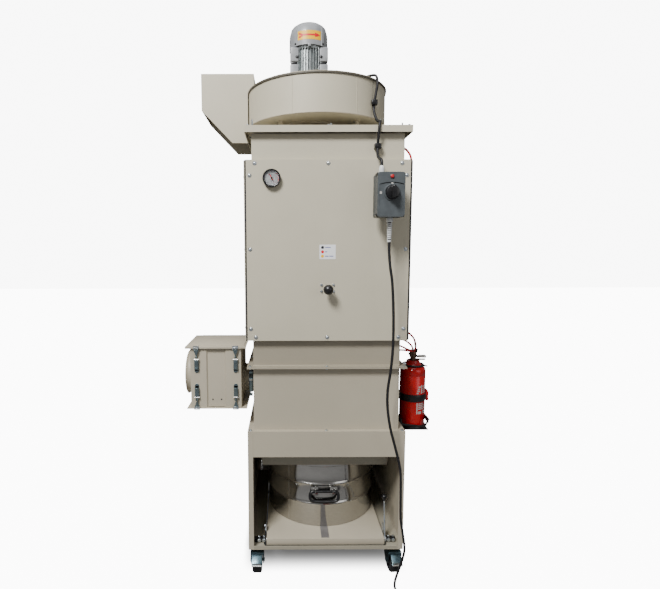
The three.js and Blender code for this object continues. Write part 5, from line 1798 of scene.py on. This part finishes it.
def drum_grip():
    """Swinging D-shaped handle with thick rounded bars."""
    front = DEPTH_MIDDLE - DRUM_R
    y = front - 6
    half = [
        (40, 0, 0), (50, -1, 0), (58, -2, -4), (
            61.5, -3, -12
        ), (62, -5, -20), (60.5, -7, -30), (55, -8, -37), (46, -8.5, -40), (30, -9, -41),
    ]
    loop = [(-x, dy, dz) for x, dy, dz in half] + [(0, -9, -41.4)] + half[::-1]
    pipe(
        "drum_grip", [at(x, y + dy, GRIP_PIVOT + dz)
        for x, dy, dz in loop], 6.6 * MM, BLACK, "handle", "drum_handle", 6
    )
    bm = bmesh.new()
    bar(bm, at(-37, y, GRIP_PIVOT), at(37, y, GRIP_PIVOT), 5.6 * MM, 24, chamfer=1 * MM)
    make("drum_grip_bar", bm, BLACK, "handle")


def lift_deck():
    """Lift platform with a folded front lip and a ribbed runner strip down the middle."""
    node = Extent("lift_platform")
    bm = bmesh.new()
    x0, x1 = node.x0, node.x1
    y0, y1 = deep(12), deep(660)
    top = node.z1
    sheet = 3 * MM
    brick(bm, (x0, y0, top - sheet), (x1, y1, top), 1.2 * MM)
    brick(bm, (x0, y0, node.z0), (x1, y0 + sheet, top - 0.6 * MM), 1 * MM)
    brick(bm, (x0, y1 - sheet, node.z0), (x1, y1, top - 0.6 * MM), 1 * MM)
    make("platform_sheet", bm, PAINT_LOW_SHADE, "platform", "lift_platform")
    bm = bmesh.new()
    brick(bm, at(-17, 20, 164.6), at(17, 640, 165.2), 0)
    for k in range(5):
        x = -14 + 7 * k
        bar(bm, at(x, 20, 165), at(x, 640, 165), 0.9 * MM, 8)
    make("platform_runner", bm, RUNNER, "platform")


def lift_shaft():
    """Cross shaft with cams, the hand lever leaning back beside the drum, and its ball."""
    y, z = 45, 143
    bm = bmesh.new()
    bar(bm, at(-292, y, z), at(292, y, z), 6 * MM, 24, chamfer=0.8 * MM)
    for x0, x1 in ((-246, -226), (226, 246)):
        cam = [(y - 9, z), (y - 3, z + 14.6), (y + 3, z + 14.6), (y + 9, z), (y, z - 9)]
        slab(bm, [(deep(a), b * MM) for a, b in cam], "X", panel.cx + x0 * MM, panel.cx + x1 * MM, 1 * MM)
    bar(bm, at(253, y, z), at(263, y, z), 11 * MM, 32, chamfer=1 * MM)
    bar(bm, at(258, y, z), at(266.5, 110, 297), 4 * MM, 24)
    for x in (-286, -268, 270, 286):
        bar(bm, at(x - 3, y, z), at(x + 3, y, z), 9 * MM, 6, chamfer=1 * MM)
    make("lever_shaft", bm, ZINC, "lever", "lift_lever")
    bm = bmesh.new()
    ball(bm, at(266.5, 110, 297), 12.4 * MM)
    bar(bm, at(265.6, 103, 281), at(266.2, 107, 290), 6 * MM, 24, chamfer=1 * MM)
    make("lever_ball", bm, BLACK, "lever")


def shaft_bearings():
    """Black bearing blocks with zinc bolts on the floor frame, and guide brackets beside the platform."""
    for side, name in ((-1, "left"), (1, "right")):
        bm = bmesh.new()
        inner, outer = (253.5, 302) if side < 0 else (264.5, 302)
        x0, x1 = sorted((side * inner, side * outer))
        brick(bm, at(x0, 37, 134.6), at(x1, 54, 153), 1 * MM)
        for x in (side * (inner + 9), side * (inner + 29)):
            bar(bm, at(x, 37.4, 143), at(x, 33, 143), 5.6 * MM, 6, index=1, chamfer=0.8 * MM)
            bar(bm, at(x, 45, 152), at(x, 45, 160), 5 * MM, 6, index=1, chamfer=0.8 * MM)
            bar(bm, at(x, 38, 143), at(x, 36.4, 143), 8 * MM, 28, index=1)
        make("shaft_bearing_" + name, bm, [BLACK, ZINC], "cabinet")
        bm = bmesh.new()
        x0, x1 = sorted((side * 252, side * 256))
        brick(bm, at(x0, 62, 158), at(x1, 84, 196), 1 * MM)
        bar(bm, at(side * 251.4, 73, 188), at(side * 262, 73, 188), 5 * MM, 24, chamfer=0.8 * MM)
        bar(bm, at(side * 251.4, 73, 170), at(side * 260, 73, 170), 4 * MM, 6, chamfer=0.6 * MM)
        make("guide_bracket_" + name, bm, ZINC, "cabinet")


def bay():
    """Inside of the base: rubber sealing ring, and the funnel and floor frame in a dark copy of the paint as
    painted shade.
    """
    dress("outlet_funnel", PAINT_INSIDE_SHADE, 1.2)
    dress("base_floor_and_back", PAINT_INSIDE_SHADE, 1.2)
    dress("drum_seal", RUBBER, 1.5)


RUNNER = moulded("runner_strip", (0.16, 0.15, 0.145), 0.4, 0.55, 0.3, 300)

drum_shell()
drum_grip()
lift_deck()
lift_shaft()
shaft_bearings()
bay()

# ---------------------------------------------------------------- casters

CASTERS = [
    ("front_left", -291, 75, 0, True), ("front_right", 291, 75, 5, True),
    ("rear_left", -291, 640, 0, False), ("rear_right", 291, 640, 0, False),
]
TRAIL, AXLE = 30, 50


def mm(x, y, z):
    return Vector((x * MM, y * MM, z * MM))


def fork(bm, swivels):
    """Pressed fork: cheeks with a flared foot, crown and axle bolt, in the caster's own frame."""
    outline = [(20, 104), (-68, 104), (-66, 92), (-48, 46), (-38, 37), (-24, 36), (-14, 46), (20, 92)]
    points = rounded([(a * MM, b * MM) for a, b in outline], 3 * MM, 3)
    for x0, x1 in ((-28, -25), (25, 28)):
        slab(bm, points, "X", x0 * MM, x1 * MM, 0.8 * MM)
    brick(bm, mm(-28, -66, 102.6), mm(28, 24, 106.4), 1.6 * MM)
    brick(bm, mm(-26, -69, 96), mm(26, -65, 105), 1.4 * MM)
    bar(bm, mm(-31, -TRAIL, AXLE), mm(31, -TRAIL, AXLE), 6 * MM, 24, chamfer=0.6 * MM)
    bar(bm, mm(-31.4, -TRAIL, AXLE), mm(-28, -TRAIL, AXLE), 9 * MM, 6, chamfer=0.8 * MM)
    bar(bm, mm(28, -TRAIL, AXLE), mm(31.4, -TRAIL, AXLE), 9 * MM, 6, chamfer=0.8 * MM)
    if swivels:
        bar(bm, mm(0, 0, 106), mm(0, 0, 112), 30 * MM, 48, 27 * MM, chamfer=0.8 * MM)
        bar(bm, mm(0, 0, 111), mm(0, 0, 116.4), 26 * MM, 48, chamfer=0.8 * MM)
    else:
        brick(bm, mm(-33, -46, 107), mm(33, 44, 120), 1.2 * MM)


def wheel(bm):
    """Rubber tyre with two fine grooves on a grey hub."""
    tyre = [
        (33, -18), (44, -20), (
            47, -18.6
        ), (49.6, -15), (50, -13), (50, -5.6), (49.2, -5), (49.2, -4), (50, -3.4), (50, 3.4), (49.2, 4),
        (49.2, 5), (50, 5.6), (50, 13), (49.6, 15), (47, 18.6), (44, 20), (33, 18),
    ]
    turned(bm, [(r * MM, x * MM) for r, x in tyre], mm(0, -TRAIL, AXLE), "X", 72, closed=True)
    hub = [
        (6.4, -19.6), (14, -19.6), (15, -15), (29, -12), (33.4, -17), (33.4, 17), (29, 12), (15, 15),
        (14, 19.6), (6.4, 19.6)
    ]
    turned(bm, [(r * MM, x * MM) for r, x in hub], mm(0, -TRAIL, AXLE), "X", 72, closed=True, index=1)


def brake_pedal(bm):
    """Bent foot pedal with a bright pressing edge."""
    outline = [(-59, 93), (-62, 99), (-76, 94), (-100, 68), (-96, 64), (-74, 87)]
    slab(bm, [(a * MM, b * MM) for a, b in outline], "X", -22 * MM, 22 * MM, 1 * MM)
    bar(bm, mm(-21, -97.4, 67), mm(21, -97.4, 67), 3 * MM, 20, index=1, chamfer=0.6 * MM)
    brick(bm, mm(-19, -98, 70), mm(19, -93, 76), 1 * MM, 1)


def mounting_plate(bm):
    brick(bm, mm(-33, -45, 125.6), mm(33, 45, 129.8), 0.8 * MM)
    bar(bm, mm(0, 0, 117), mm(0, 0, 126), 24 * MM, 48, chamfer=1 * MM)
    for x in (-25, 25):
        for y in (-36, 36):
            screw_head(bm, mm(x, y, 125.6), (0, 0, -1), 5 * MM, 7.4 * MM, kind="hex")


def caster(name, x, y, degrees, swivels):
    node = "caster_" + name
    place = Matrix.Translation(at(x, y, 0)) @ Matrix.Rotation(math.radians(degrees), 4, "Z")

    def finish(label, build, material, body, replaced):
        bm = bmesh.new()
        build(bm)
        bmesh.ops.transform(bm, matrix=place, verts=bm.verts)
        make(label + "_" + name, bm, material, body, replaced)

    fork_body = name + "_swivel" if swivels else "cabinet"
    finish("fork", lambda bm: fork(bm, swivels), CASTER_ZINC_SHADED, fork_body, node + "_fork")
    finish("wheel", wheel, [TYRE, GREY_DARK], name + "_roller", node + "_wheel")
    if swivels:
        finish("pedal", brake_pedal, [CASTER_ZINC_SHADED, STEEL], name + "_pedal", node + "_brake")
        finish("plate", mounting_plate, CASTER_ZINC_SHADED, "cabinet", node + "_plate")


# Bluish zinc, darkened far below the other zinc to paint the shade on the casters low under the machine.
CASTER_ZINC_SHADED = plated_zinc("caster_zinc_painted_shade", (0.11, 0.17, 0.20))
for one in CASTERS:
    caster(*one)
